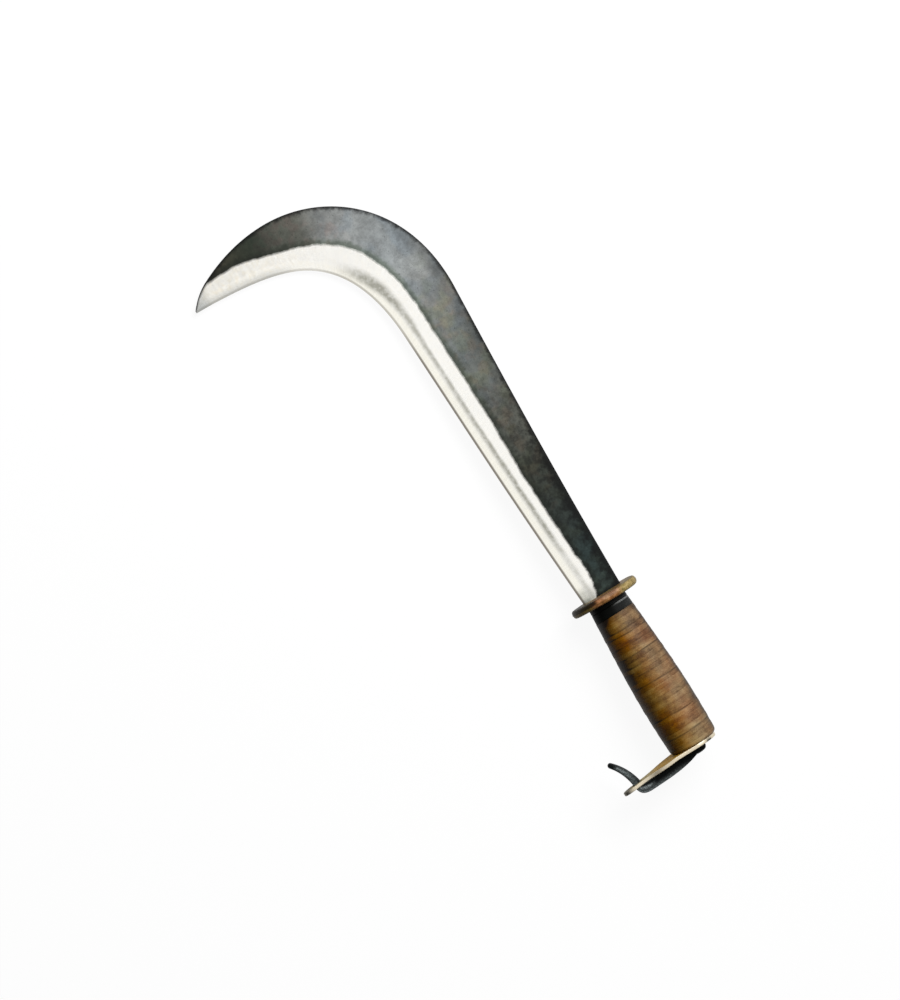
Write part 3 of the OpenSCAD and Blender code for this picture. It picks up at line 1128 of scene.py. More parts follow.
        zero = np.zeros_like(t)
        from_spine = np.concatenate([zero, corner_in, flat_in], axis=1)
        cheek = np.concatenate([zero, corner_z, flat_z, upper_z, lower_z, zero], axis=1)
        on_flat = spine[:, None, :] + inward[:, None, :] * from_spine[..., None]
        over = np.concatenate([down * bevel_w, bevel_w + thin * self.edge_out], axis=1)
        on_bevel = grind[:, None, :] + slope[:, None, :] * over[..., None]
        plan = np.concatenate([on_flat, on_bevel], axis=1)
        to_edge = np.concatenate([flat_w - from_spine + bevel_w, np.maximum(bevel_w - over, 0.0)], axis=1)
        marks = {
            "along": np.broadcast_to(along, cheek.shape),
            "spine": np.concatenate([from_spine, flat_w + over], axis=1),
            "grind": np.concatenate([from_spine - flat_w, over], axis=1),
            "edge": to_edge,
        }
        upper_side = np.concatenate([plan, cheek[..., None]], axis=2)
        lower_side = upper_side[:, -2:0:-1] * np.array([1.0, 1.0, -1.0])
        points = np.concatenate([upper_side, lower_side], axis=1)
        closed = points * np.array([1.0, 1.0, 0.0])
        points = np.concatenate([closed[:1], points, closed[-1:]])
        marks = {k: np.concatenate([v, v[:, -2:0:-1]], axis=1) for k, v in marks.items()}
        marks = {k: np.concatenate([v[:1], v, v[-1:]]) for k, v in marks.items()}
        return Shell(points, Wrap.TUBE, marks)

    def tang(self) -> Shell:
        """A plain bar through the stack, its two ends closed to a point on its axis.

        Returns:
            The tang's surface, with the marks of plain scale.
        """
        corners = np.array([(1, 1), (-1, 1), (-1, -1), (1, -1)]) * np.array([self.tang_w, self.tang_t]) / 2
        rear = self.rear + self.tang_draw
        size = np.array([0.0, 1.0, 1.0, 0.0])
        points = np.zeros((len(size), len(corners), 3))
        points[..., 0] = np.array([rear, rear, self.shoulder, self.shoulder])[:, None]
        points[..., 1:] = corners[None] * size[:, None, None]
        return Shell(points, Wrap.TUBE, self.scale_marks(points))

    def rivet(self) -> Shell:
        """The tang's round end, turned about the X axis: shank, countersunk head and low dome.

        Returns:
            The rivet's surface, with the marks of plain scale.
        """
        dome = np.linspace(0.0, 1.0, self.dome_rows)
        radius = np.concatenate([dome * self.head_d / 2, [self.rivet_d / 2, self.rivet_d / 2, 0.0]])
        ahead = self.rear + self.tang_draw - self.eye
        depth = np.concatenate([-self.dome_h * (1 - dome**2), [self.head_h, ahead, ahead]])
        turn = np.linspace(0.0, FULL_TURN, self.rivet_columns, endpoint=False)
        points = np.zeros((len(radius), len(turn), 3))
        points[..., 0] = self.eye + depth[:, None]
        points[..., 1] = radius[:, None] * np.cos(turn)
        points[..., 2] = radius[:, None] * np.sin(turn)
        return Shell(points, Wrap.TUBE, self.scale_marks(points))

    def scale_marks(self, points: Floats) -> dict[str, Floats]:
        """Marks of plain scale, far from any line of the blade.

        Args:
            points: The surface's grid.

        Returns:
            One value of each mark for each grid point.
        """
        far = np.full(points.shape[:2], self.far)
        return {"along": far, "spine": far, "grind": -far, "edge": far}

    def build(self) -> list[Thing]:
        """Adds the blade as one piece of three closed surfaces.

        Returns:
            The blade.
        """
        shells = [self.body(), self.tang(), self.rivet()]
        steel = ForgedSteel().material()
        return [Piece("blade_forging", shells, steel, "blade_steel", ("blade",)).place()]


@dataclass
class Ring:
    """A ring on the tang: two flat faces, a rounded rim and a slot for the tang.

    Attributes:
        faces: Places of its rear and front face along the axis.
        radii: Radius of the rim at each face.
        rounds: Rounding of the rim at each face.
        swell: How far the rim bows out between its faces.
        wobble: How far the rim is out of round.
        warp: How far the faces wave at the rim.
        seed: A number that sets the ring's own wobble.
    """

    faces: Point
    radii: Point
    rounds: Point
    swell: float = 0.0
    wobble: float = 0.0
    warp: float = 0.0
    seed: float = 0.0
    # Lobes of the wobble round the rim, their heights, and how far the seed turns them
    lobes: Point = (2.0, 5.0)
    lobe_heights: Point = (1.0, 0.6)
    lobe_turns: Point = (2.1, 3.7)
    # Lobes of the warp, their twist along the axis in radians for each millimetre, and their rise outwards
    warp_lobes: float = 2.0
    warp_twist: float = 0.21
    warp_power: float = 3.0
    slot_w: float = 9.2
    slot_t: float = 4.6
    # Where a face has points between the slot and the rim, as shares of the way
    face_shares: Point = (0.0, 0.5)
    around: int = 128
    bend_columns: int = 8
    side_columns: int = 7

    def shell(self) -> Shell:
        """Turns the rim's profile round the X axis and closes it through the slot.

        The slot's radius at an angle is the shorter of the distances to its two pairs of walls. The faces
        run straight from the slot to the rim.

        Returns:
            The ring's surface, marked with the share of the way across its rim.
        """
        even = np.linspace(0.0, FULL_TURN, self.around, endpoint=False)
        corner = np.arctan2(self.slot_t, self.slot_w)
        corners = [corner, np.pi - corner, np.pi + corner, FULL_TURN - corner]
        turn = np.sort(np.concatenate([even, corners]))[:, None]
        walls = np.abs(np.cos(turn)) * 2 / self.slot_w, np.abs(np.sin(turn)) * 2 / self.slot_t
        slot = 1.0 / np.maximum(*walls)

        bend = np.linspace(0.0, QUARTER_TURN, self.bend_columns)
        rise = np.linspace(0.0, 1.0, self.side_columns)[1:-1]
        rear_x = self.faces[0] + self.rounds[0] * (1 - np.cos(bend))
        rear_r = self.radii[0] - self.rounds[0] * (1 - np.sin(bend))
        front_x = self.faces[1] - self.rounds[1] * (1 - np.cos(bend[::-1]))
        front_r = self.radii[1] - self.rounds[1] * (1 - np.sin(bend[::-1]))
        side_x = rear_x[-1] + (front_x[0] - rear_x[-1]) * rise
        side_r = rear_r[-1] + (front_r[0] - rear_r[-1]) * rise + self.swell * np.sin(np.pi * rise)
        rim_x = np.concatenate([rear_x, side_x, front_x])[None, :] + np.zeros_like(turn)
        rim_r = np.concatenate([rear_r, side_r, front_r])[None, :]
        lobes = np.sin(turn * np.array(self.lobes) + self.seed * np.array(self.lobe_turns))
        rim_r = rim_r + self.wobble * (lobes * np.array(self.lobe_heights)).sum(axis=1, keepdims=True)

        share = np.array([self.face_shares])
        rear_face = slot + (rim_r[:, :1] - slot) * share
        front_face = slot + (rim_r[:, -1:] - slot) * share[:, ::-1]
        radius = np.concatenate([rear_face, rim_r, front_face], axis=1)
        flat = np.zeros_like(rear_face)
        x = np.concatenate([flat + self.faces[0], rim_x, flat + self.faces[1]], axis=1)
        over = (rim_x - self.faces[0]) / (self.faces[1] - self.faces[0])
        over = np.concatenate([flat, over, flat + 1.0], axis=1)
        lean = (radius / max(self.radii)) ** self.warp_power
        x = x + self.warp * lean * np.sin(self.warp_lobes * turn + self.warp_twist * x)
        points = np.stack([x, radius * np.cos(turn), radius * np.sin(turn)], axis=-1)
        return Shell(points, Wrap.RING, {"over": over})


def faces(node: str) -> Point:
    """Places of a solid's rear and front along the axis."""
    low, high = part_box(node)
    return low.x / MM, high.x / MM


@dataclass
class Grip:
    """The handle's stack: leather washers, the blackened ferrule and the black collar.

    The handle's radius falls in a curve from its fullest part to the guard, and slightly to the plate.
    Its marks go by how far a point lies to the edge's side, and by how far it lies behind the ferrule.
    """

    full_r: float = 18.6
    front_r: float = 14.3
    rear_r: float = 17.9
    full_at: float = 32.0
    front_slope: float = 1.2
    washers: int = 28
    heel_round: float = 2.5
    tight_round: float = 0.03
    open_round: float = 0.14
    ring_round: float = 0.6
    ring_warp: float = 0.1
    swell: float = 0.05
    wobble: float = 0.07
    warp: float = 0.25
    # Joints, counted from the ferrule, that have opened and gathered dirt
    open_joints: tuple[int, ...] = (3, 4, 6, 8, 10, 14, 21, 25)
    tight_dirt: float = 0.35
    joint_dirt: Fade = Fade(0.0, 0.3, 1.0, 0.0)
    # Washers, counted from the ferrule, that are black on the edge's side
    sooty: tuple[int, ...] = (1, 2, 3, 9, 10, 12, 13)
    clean_soil: float = 0.6
    joint_soil: float = 0.3
    sweat: Fade = Fade(0.3, 1.0)
    seep: Fade = Fade(0.1, 0.6)
    # Painted shadow that slants back from the ferrule, further on the edge's side
    ferrule_shadow: Fade = Fade(-1.0, 4.0, 1.0, 0.0)
    ferrule_shadow_slant: float = 6.0
    # Each washer's own tone and warmth
    tone_swing: float = 0.8
    tone_turn: float = 1.7
    tone_fall: float = 0.01
    warm_mean: float = 0.5
    warm_swing: float = 0.3
    warm_turn: float = 2.3
    # Painted shade on the edge's side, on the spine's side, at its very rim and behind the ferrule
    edge_painted_shade: Fade = Fade(0.0, 0.85, 0.0, 0.72)
    spine_painted_shade: Fade = Fade(0.65, 0.95, 0.0, 0.6)
    rim_painted_shade: Fade = Fade(0.88, 0.98, 0.0, 0.4)
    ferrule_painted_shade: Fade = Fade(0.0, 7.0, 0.5, 0.0)
    # A painted sheen on the spine's side, which faces the light, and painted shade on the edge's side
    polish: Fade = Fade(0.0, 0.6)
    # Abrasion of the black rings everywhere, and a painted highlight on the spine's side, which faces the
    # light, and along the front rim
    ring_wear: float = 0.04
    highlight_side: Fade = Fade(-0.1, 0.8)
    highlight_rim: Fade = Fade(0.78, 0.92)
    ferrule_highlight: Point = (0.14, 0.75)
    collar_highlight: Point = (0.16, 0.0)

    def __post_init__(self) -> None:
        """Takes the handle's two ends from the part's solids."""
        self.rear = faces(self.washer_name(self.washers))[0]
        self.front = faces("guard_disc")[0]

    def washer_name(self, number: int) -> str:
        """Name of a washer's solid, counted from the ferrule."""
        return f"leather_washer_{number:02d}"

    def radius(self, x: float) -> float:
        """Radius of the handle: a cubic taper in front of its fullest part, a parabola behind it.

        Args:
            x: Place along the axis.

        Returns:
            The radius there.
        """
        full_x = self.rear + self.full_at
        if x < full_x:
            return self.full_r + (self.rear_r - self.full_r) * ((full_x - x) / self.full_at) ** 2
        s = (x - full_x) / (self.front - full_x)
        fall = (3 - self.front_slope) * s**2 + (self.front_slope - 2) * s**3
        return self.full_r + (self.front_r - self.full_r) * fall

    def dirt(self, joint: int) -> float:
        """How dirty a joint is, counted from the ferrule."""
        tight = self.tight_dirt * (1 + np.sin(joint * GOLDEN_ANGLE)) / 2
        return 1.0 if joint in self.open_joints else tight

    def rounding(self, joint: int) -> float:
        """Rounding of the rims at a joint, counted from the ferrule."""
        between = self.open_round if joint in self.open_joints else self.tight_round
        return self.heel_round if joint == self.washers else between

    def leather_marks(self, number: int, shell: Shell) -> dict[str, Floats]:
        """Works out what colours a washer: its own tone, dirt at its joints, sweat, a painted shadow behind
        the ferrule, painted shade and a painted sheen.

        Args:
            number: The washer's number from the ferrule.
            shell: The washer's surface.

        Returns:
            One value of each mark for each grid point.
        """
        over, aside, x = shell.marks["over"], shell.aside(), shell.points[..., 0]
        behind = faces("ferrule")[0] - x
        rear_dirt = self.dirt(number) * self.joint_dirt.at(over)
        dirt = np.maximum(rear_dirt, self.dirt(number - 1) * self.joint_dirt.at(1 - over))
        soil = 1.0 if number in self.sooty else self.clean_soil
        soil = soil * self.sweat.at(aside) + self.joint_soil * dirt * self.seep.at(aside)
        # a painted shadow behind the ferrule, reaching further back on the edge's side
        ferrule_shadow = self.ferrule_shadow.at(behind - self.ferrule_shadow_slant * self.sweat.at(aside)) * self.seep.at(aside)
        # painted shade on the edge's side, on the spine's side and at its very rim
        side_painted_shade = self.edge_painted_shade.at(aside) + self.spine_painted_shade.at(-aside) + self.rim_painted_shade.at(-aside)
        tone = self.tone_swing * np.sin(number * GOLDEN_ANGLE * self.tone_turn)
        warm = self.warm_mean + self.warm_swing * np.sin(number * GOLDEN_ANGLE * self.warm_turn)
        return {
            "dirt": dirt,
            "tone": tone - x * self.tone_fall,
            "warm": np.full(over.shape, warm),
            "soil": np.maximum(soil, ferrule_shadow),
            "grime": np.clip(side_painted_shade + self.ferrule_painted_shade.at(behind), 0.0, 1.0),
            "polish": self.polish.at(-aside) - self.polish.at(aside),
        }

    def washer(self, number: int, leather: bpy.types.Material) -> Thing:
        """Adds one leather washer.

        Args:
            number: The washer's number from the ferrule.
            leather: Its finish.

        Returns:
            The washer.
        """
        node = self.washer_name(number)
        rear, front = faces(node)
        radii = self.radius(rear), self.radius(front)
        rounds = self.rounding(number), self.rounding(number - 1)
        uneven = self.swell, self.wobble, self.warp, float(number)
        shell = Ring((rear, front), radii, rounds, *uneven).shell()
        shell.marks = self.leather_marks(number, shell)
        return Piece(f"grip_{node}", [shell], leather, "grip_leather", (node,)).place()

    def black_ring(self, node: str, slot: str, highlight: Point, black: bpy.types.Material) -> Thing:
        """Adds the ferrule or the collar.

        Args:
            node: The ring's solid.
            slot: The record's slot of its finish.
            highlight: How far a highlight is painted on its side and its front rim, on the spine's side,
                which faces the light.
            black: Its finish.

        Returns:
            The ring.
        """
        rear, front = faces(node)
        radii = self.radius(rear), self.radius(front)
        shell = Ring((rear, front), radii, (self.ring_round, self.ring_round), warp=self.ring_warp).shell()
        # a painted highlight on the spine's side, which faces the light, and along the front rim
        side = self.highlight_side.at(-shell.aside())
        rubbed = highlight[0] + highlight[1] * self.highlight_rim.at(shell.marks["over"])
        shell.marks = {"wear": self.ring_wear + rubbed * side}
        return Piece(f"turned_{node}", [shell], black, slot, (node,)).place()

    def build(self) -> list[Thing]:
        """Adds the washers, the ferrule and the collar.

        Returns:
            The rings, from the ferrule's side.
        """
        leather = WaxedLeather("waxed_sole_leather", "#4d2f13", "#7f5928", "#a37e47", "#1a0d04").material()
        black = BlackenedSteel("oil_blackened_steel", "#030403", "#a3a5a3", speckle=0.35).material()
        rings = [self.washer(number, leather) for number in range(1, self.washers + 1)]
        rings.append(self.black_ring("ferrule", "ferrule_black", self.ferrule_highlight, black))
        rings.append(self.black_ring("collar_washer", "collar_black", self.collar_highlight, black))
        return rings


@dataclass
class Guard:
    """The guard: a thick disc of sole leather with a soft, slightly waved rim.

    Its marks go by the share of its radius towards the edge's side, by the way over its rim and by how near
    to the rim a point lies.
    """

    rim_round: float = 2.0
    swell: float = 0.25
    wobble: float = 0.12
    warp: float = 0.3
    seed: float = 4.0
    around: int = 192
    rim: Fade = Fade(0.8, 0.97)
    # Dirt on the faces, which the rim gathers more of
    dirt_power: float = 3.0
    face_dirt: float = 0.4
    # Warmth: orange in the middle of the rim, olive at its two ends
    warm_mean: float = 0.5
    middle_warm: float = 0.4
    end_warm: Fade = Fade(0.3, 0.7, 0.0, -1.6)
    # Painted shadow on the edge's side, most of it in front next to the blade, and painted shade on the
    # rim's two sides
    shadow_start: float = 0.1
    shadow_ends: Point = (1.0, 0.5)
    front_shadow: Fade = Fade(0.3, 0.7, 0.4, 1.1)
    edge_painted_shade: Fade = Fade(0.1, 0.4, 0.0, 0.5)
    spine_painted_shade: Fade = Fade(0.8, 1.0, 0.0, 0.15)
    # A painted highlight on the middle of the front rim, and painted shade on the rim's edge side
    highlight_front: Fade = Fade(0.3, 0.8)
    highlight_at: float = -0.15
    highlight_middle: Fade = Fade(0.1, 0.4, 1.0, 0.0)
    edge_side_shade: Fade = Fade(0.3, 0.6, 0.0, 0.6)

    def marks(self, shell: Shell, radius: float) -> dict[str, Floats]:
        """Works out what colours the disc.

        Args:
            shell: The disc's surface.
            radius: The disc's radius.

        Returns:
            One value of each mark for each grid point.
        """
        over = shell.marks["over"]
        aside = shell.points[..., 1] / radius
        rim = self.rim.at(np.hypot(shell.points[..., 1], shell.points[..., 2]) / radius)
        # the painted shadow on the edge's side is full sooner on the rim
        shadow_end = self.shadow_ends[0] + (self.shadow_ends[1] - self.shadow_ends[0]) * rim
        # a painted highlight on the middle of the front rim
        highlight = self.highlight_front.at(over) * self.highlight_middle.at(np.abs(aside - self.highlight_at))
        return {
            "dirt": np.abs(2 * over - 1) ** self.dirt_power * (self.face_dirt + (1 - self.face_dirt) * rim),
            "tone": np.zeros_like(over),
            "warm": self.warm_mean + rim * (self.middle_warm + self.end_warm.at(np.abs(aside))),
            "soil": Fade(self.shadow_start, shadow_end).at(aside) * self.front_shadow.at(over),
            "grime": rim * (self.edge_painted_shade.at(aside) + self.spine_painted_shade.at(-aside)),
            "polish": rim * (highlight - self.edge_side_shade.at(aside)),
        }

    def build(self) -> list[Thing]:
        """Adds the disc, with a painted shadow on the edge's side and a painted highlight in the middle of
        its rim.

        Returns:
            The disc.
        """
        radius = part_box("guard_disc")[1].y / MM
        rounds = self.rim_round, self.rim_round
        shape = {"swell": self.swell, "wobble": self.wobble, "warp": self.warp, "seed": self.seed}
        shell = Ring(faces("guard_disc"), (radius, radius), rounds, around=self.around, **shape).shell()
        shell.marks = self.marks(shell, radius)
        colours = "#49351a", "#8e6d3a", "#c49c68", "#120c04"
        leather = WaxedLeather("thick_sole_leather", *colours, hue_swing=0.026, blotch_mm=5.0).material()
        return [Piece("guard_leather_disc", [shell], leather, "guard_leather", ("guard_disc",)).place()]


@dataclass
class PommelPlate:
    """The pommel plate: round at the back, drawn in to a tongue that bends away from the handle.

    The belt hook's arm comes up through a slot in the tongue.
    """

    back_r: float = 16.0
    thickness: float = 2.6
    tongue_w: float = 12.0
    tongue_end: float = 60.6
    flank_end: float = 45.5
    flank_pulls: Point = (0.55, 0.4)
    bend: float = 5.5
    slot_y: float = 48.6
    slot_size: Point = (7.2, 7.6)
    edge_round: float = 0.5
    # A face counts as broad down to this depth over its rounded edge
    face_depth: float = 0.055
    # A painted dark reflection on the rim: its place along X and Y, how far it is drawn out, and its fading
    stain: Point = (-60.8, -9.8)
    dark_reflection_squash: float = 0.75
    dark_reflection_fade: Fade = Fade(1.02, 1.7, 1.0, 0.0)
    # Where the painted reflection on the faces pales towards the tongue, and where the tongue is tarnished,
    # along Y
    rubbed: Fade = Fade(24.0, 45.5)
    tarnish: Fade = Fade(49.5, 58.6)
    around: int = 260
    face_rows: int = 14
    bend_rows: int = 5
    curve_steps: int = 60

    def __post_init__(self) -> None:
        """Takes the height of the plate's upper face from the part's solid."""
        self.top = faces("pommel_plate")[1]

    def drop(self, y: Floats) -> Floats:
        """How far the bent tongue lies below the plate: the tangent of the bend times the way past it."""
        return np.maximum(y - self.back_r, 0.0) * np.tan(np.radians(self.bend))

    def under(self, y: Floats) -> Floats:
        """Place of the plate's underside along X."""
        return self.top - self.thickness - self.drop(y)

    def outline(self) -> Floats:
        """Points round the plate: a half circle, a drawn-in curve on each side and the tongue's round end.

        Returns:
            Points along Y and Z, evenly spaced round the outline.
        """
        quarter = np.linspace(0.0, QUARTER_TURN, self.curve_steps)
        half = self.tongue_w / 2
        back = np.stack([-self.back_r * np.cos(quarter), self.back_r * np.sin(quarter)], axis=1)
        drawn = Stretch((self.back_r, self.back_r), 0, (self.flank_end, half), 0, self.flank_pulls)
        tip = np.stack([self.tongue_end - half * (1 - np.sin(quarter)), half * np.cos(quarter)], axis=1)
        side = np.concatenate([back, drawn.points(np.linspace(0.0, 1.0, self.curve_steps)), tip])
        loop = np.concatenate([side, side[-2::-1] * np.array([1.0, -1.0])])
        return even_steps(loop, np.arange(self.around) / self.around)

    def shell(self) -> Shell:
        """Runs the faces straight out from the slot to the outline and rounds the rim in quarter circles.

        Returns:
            The plate's surface, marked on its broad faces, where their painted reflection pales, where it
            is tarnished and where a dark reflection is painted on its rim.
        """
        outline = self.outline()
        outward = across(np.roll(outline, -1, axis=0) - np.roll(outline, 1, axis=0))
        middle = np.array([self.slot_y, 0.0])
        arm = outline - middle
        slot = middle + arm / np.max(np.abs(arm) / (np.array(self.slot_size) / 2), axis=1)[:, None]

        turn = np.linspace(0.0, QUARTER_TURN, self.bend_rows)
        share = np.linspace(0.0, 1.0, self.face_rows)[:-1]
        inset = np.concatenate([np.full(len(share), self.edge_round), self.edge_round * (1 - np.sin(turn))])
        sunk = np.concatenate([np.zeros(len(share)), self.edge_round * (1 - np.cos(turn))])
        share = np.concatenate([share, np.ones(len(turn))])[:, None, None]
        rim = outline[None] - outward[None] * inset[:, None, None]
        plan = slot[None] + (rim - slot[None]) * share
        upper = self.top - self.drop(plan[..., 0]) - sunk[:, None]
        lower = self.top - self.drop(plan[..., 0]) - self.thickness + sunk[:, None]
        plan = np.concatenate([plan, plan[::-1]])
        x, y, z = np.concatenate([upper, lower[::-1]]), plan[..., 0], plan[..., 1]
        broad = (np.concatenate([sunk, sunk[::-1]])[:, None] < self.face_depth).astype(float)
        # the painted dark reflection on the rim
        away = np.hypot(x - self.stain[0], (y - self.stain[1]) * self.dark_reflection_squash)
        marks = {
            "broad": np.broadcast_to(broad, x.shape),
            "tarnish": self.tarnish.at(y),
            "stain": self.dark_reflection_fade.at(away) * (z > 0) * (1 - broad),
            "rubbed": self.rubbed.at(y),
        }
        return Shell(np.stack([x, y, z], axis=2), Wrap.RING, marks)

    def build(self) -> list[Thing]:
        """Adds the plate and returns it."""
        shell, steel = self.shell(), BrightPlate().material()
        return [Piece("bright_pommel_plate", [shell], steel, "plate_steel", ("pommel_plate",)).place()]


@dataclass
class BeltHook:
    """The belt hook: an eye under the plate, a bar that swells to the bend, an arm through the tongue."""

    plate: PommelPlate
    width: float = 7.0
    full_t: float = 8.0
    bend_len: float = 10.5
    arm_t: float = 6.2
    arm_tip_t: float = 3.8
    arm_tip_w: float = 5.0
    arm_rise: float = 21.5
    arm_lean: float = 9.8
    arm_angles: Point = (8.0, 42.0)
    arm_pulls: Point = (0.35, 0.35)
    bar_angles: Point = (112.0, 92.0)
    bar_pulls: Point = (0.3, 0.45)
    turn_pulls: Point = (0.5, 0.5)
    heel_share: float = 0.85
    tip_power: float = 0.6
    eye_r: float = 6.5
    eye_t: float = 4.6
    eye_round: float = 3.0
    swell_y: float = 2.0
    neck_y: float = 14.0
    squareness: float = 5.0
    # Handling everywhere and at the corners, with a painted highlight on the corners too; painted
    # highlights under the bar, in arcs round the bend and along the arm
    all_wear: float = 0.08
    corner_wear_and_highlight: float = 0.12
    bar_highlight: float = 0.5
    bend_highlight: float = 0.9
    arm_highlight: float = 0.7
    bar_y: Fade = Fade(5.0, 20.0)
    bend_y: Fade = Fade(35.0, 44.0)
    bend_x: Fade = Fade(60.0, 64.0)
    arm_y: Fade = Fade(47.0, 52.0)
    outer: Fade = Fade(0.0, 1.0)
    unlit_tip: Fade = Fade(2.0, 5.0)
    arc_turns: float = 7.0
    arc_power: float = 4.0
    columns: int = 48
    arm_rows: int = 30
    bar_rows: int = 40
    eye_rows: int = 14
    tip_rows: int = 8

    def arm(self) -> tuple[Floats, Floats, Floats]:
        """Works out the arm's middle line and its way along, and its thickness from root to tip.

        Returns:
            Points, unit vectors and thicknesses.
        """
        root = np.array([self.plate.under(self.plate.slot_y) + self.plate.thickness / 2, self.plate.slot_y])
        tip = root + np.array([self.arm_rise, self.arm_lean])
        share = np.linspace(0.0, 1.0, self.arm_rows)
        points = Stretch(root, self.arm_angles[0], tip, self.arm_angles[1], self.arm_pulls).points(share)
        ahead = np.gradient(points, axis=0)
        ahead = ahead / np.linalg.norm(ahead, axis=1)[:, None]
        return points, ahead, self.arm_t + (self.arm_tip_t - self.arm_t) * share

    def lines(self) -> tuple[Floats, Floats, Floats]:
        """Works out the inner line, the outer line and the half width from the eye to the arm's tip.

        The inner line follows the plate's underside and then the arm's near side. The outer line swells
        from the eye to the bend, turns, and follows the arm's far side. The tip is a half circle.

        Returns:
            The two lines' points and the half widths, station by station.
        """
        middle, ahead, thick = self.arm()
        left = across(ahead) * thick[:, None] / 2
        lean = np.tan(np.radians(self.arm_angles[0]))
        heel_y = self.plate.slot_y - self.arm_t / 2 - self.plate.thickness / 2 * lean
        belly_y = heel_y - self.bend_len
        base = self.plate.under(0.0)
        quarter = np.linspace(0.0, QUARTER_TURN, self.eye_rows)
        eye_y = np.concatenate([-self.eye_r * np.cos(quarter), [self.swell_y / 2]])
        corner = np.maximum(self.eye_round - self.eye_r - eye_y, 0.0)
        eye_x = base - self.eye_t + self.eye_round - np.sqrt(self.eye_round**2 - corner**2)
        share = np.linspace(0.0, 1.0, self.bar_rows)[:-1]
        start = (base - self.eye_t, self.swell_y)
        full = (self.plate.under(belly_y) - self.full_t, belly_y)
        out, level = self.bar_angles
        bar = Stretch(start, out, full, level, self.bar_pulls).points(share)
        turn = Stretch(full, level, (middle + left)[0], self.arm_angles[0], self.turn_pulls).points(share)
        turn_y = np.minimum(belly_y + (heel_y - belly_y) * share / self.heel_share, heel_y)
        up = np.maximum(share - self.heel_share, 0.0)[:, None] / (1.0 - self.heel_share)
        turn_in = np.stack([self.plate.under(turn_y), turn_y], axis=1)
        turn_in = turn_in + ((middle - left)[0] - turn_in) * up
        round_tip = np.linspace(0.0, QUARTER_TURN, self.tip_rows)[1:, None]
        cap = middle[-1] + ahead[-1] * thick[-1] / 2 * np.sin(round_tip)
        cap_left = left[-1] * np.cos(round_tip)
        eye_in = np.stack([np.full_like(eye_y, base), eye_y], axis=1)
        bar_in = np.stack([self.plate.under(bar[:, 1]), bar[:, 1]], axis=1)
        eye_out = np.stack([eye_x, eye_y], axis=1)
        inner = np.concatenate([eye_in, bar_in, turn_in, middle - left, cap - cap_left])
        outer = np.concatenate([eye_out, bar, turn, middle + left, cap + cap_left])
        y = ((inner + outer) / 2)[:, 1]
        half = np.interp(
            y,
            (0.0, self.neck_y, self.plate.slot_y, middle[-1, 1] + self.arm_tip_t),
            (self.eye_r, self.width / 2, self.width / 2, self.arm_tip_w / 2),
        )
        half = np.where(y < 0.0, np.sqrt(np.maximum(self.eye_r**2 - y**2, 0.0)), half)
        half[-len(round_tip) :] *= np.cos(round_tip[:, 0]) ** self.tip_power
        return inner, outer, half

    def wear(self, middle: Floats, turn: Floats, out: Floats) -> Floats:
        """Works out where the hook is handled bright, and where highlights are painted under the bar, round
        the bend and along the arm.

        Args:
            middle: Points of its middle line.
            turn: Angles round its section.
            out: How far each angle lies to the outer side, from -1 to 1.

        Returns:
            How pale it is at each station and angle, from handling and from painted highlights.
        """
        x, y = middle[:, :1], middle[:, 1:]
        corner = np.sin(2 * turn) ** 2
        arcs = (0.5 + 0.5 * np.cos(self.arc_turns * out)) ** self.arc_power
        up = self.arm_y.at(y)
        # painted highlights under the bar, in arcs round the bend and along the arm
        bar = self.bar_y.at(y) * (1 - up) * self.outer.at(out)
        bend = self.bend_y.at(y) * self.bend_x.at(-x) * arcs
        arm = up * self.unlit_tip.at(y[-1] - y) * (1 - np.abs(out))
        edges = self.all_wear + self.corner_wear_and_highlight * corner
        return edges + self.bar_highlight * bar + self.bend_highlight * bend + self.arm_highlight * arm

    def shell(self) -> Shell:
        """Sweeps a square section with soft corners between the two lines.

        The section is a superellipse: cosine and sine, each raised to a power well under one.

        Returns:
            The hook's surface, marked where it is handled bright and where highlights are painted.
        """
        inner, outer, half = self.lines()
        turn = np.linspace(0.0, FULL_TURN, self.columns, endpoint=False)
        power = 2.0 / self.squareness
        out = np.sign(np.cos(turn)) * np.abs(np.cos(turn)) ** power
        side = np.sign(np.sin(turn)) * np.abs(np.sin(turn)) ** power
        middle = (inner + outer) / 2
        thick = (outer - inner) / 2
        plan = middle[:, None, :] + thick[:, None, :] * out[None, :, None]
        z = half[:, None] * side[None, :]
        points = np.concatenate([plan, z[..., None]], axis=2)
        return Shell(points, Wrap.TUBE, {"wear": self.wear(middle, turn, out)})

    def build(self) -> list[Thing]:
        """Adds the hook.

        Returns:
            The hook.
        """
        colours = "#040606", "#929b9b"
        iron = BlackenedSteel("forged_black_iron", *colours, speckle=0.65, hammer_mm=5.0).material()
        return [Piece("forged_belt_hook", [self.shell()], iron, "hook_steel", ("belt_hook",)).place()]


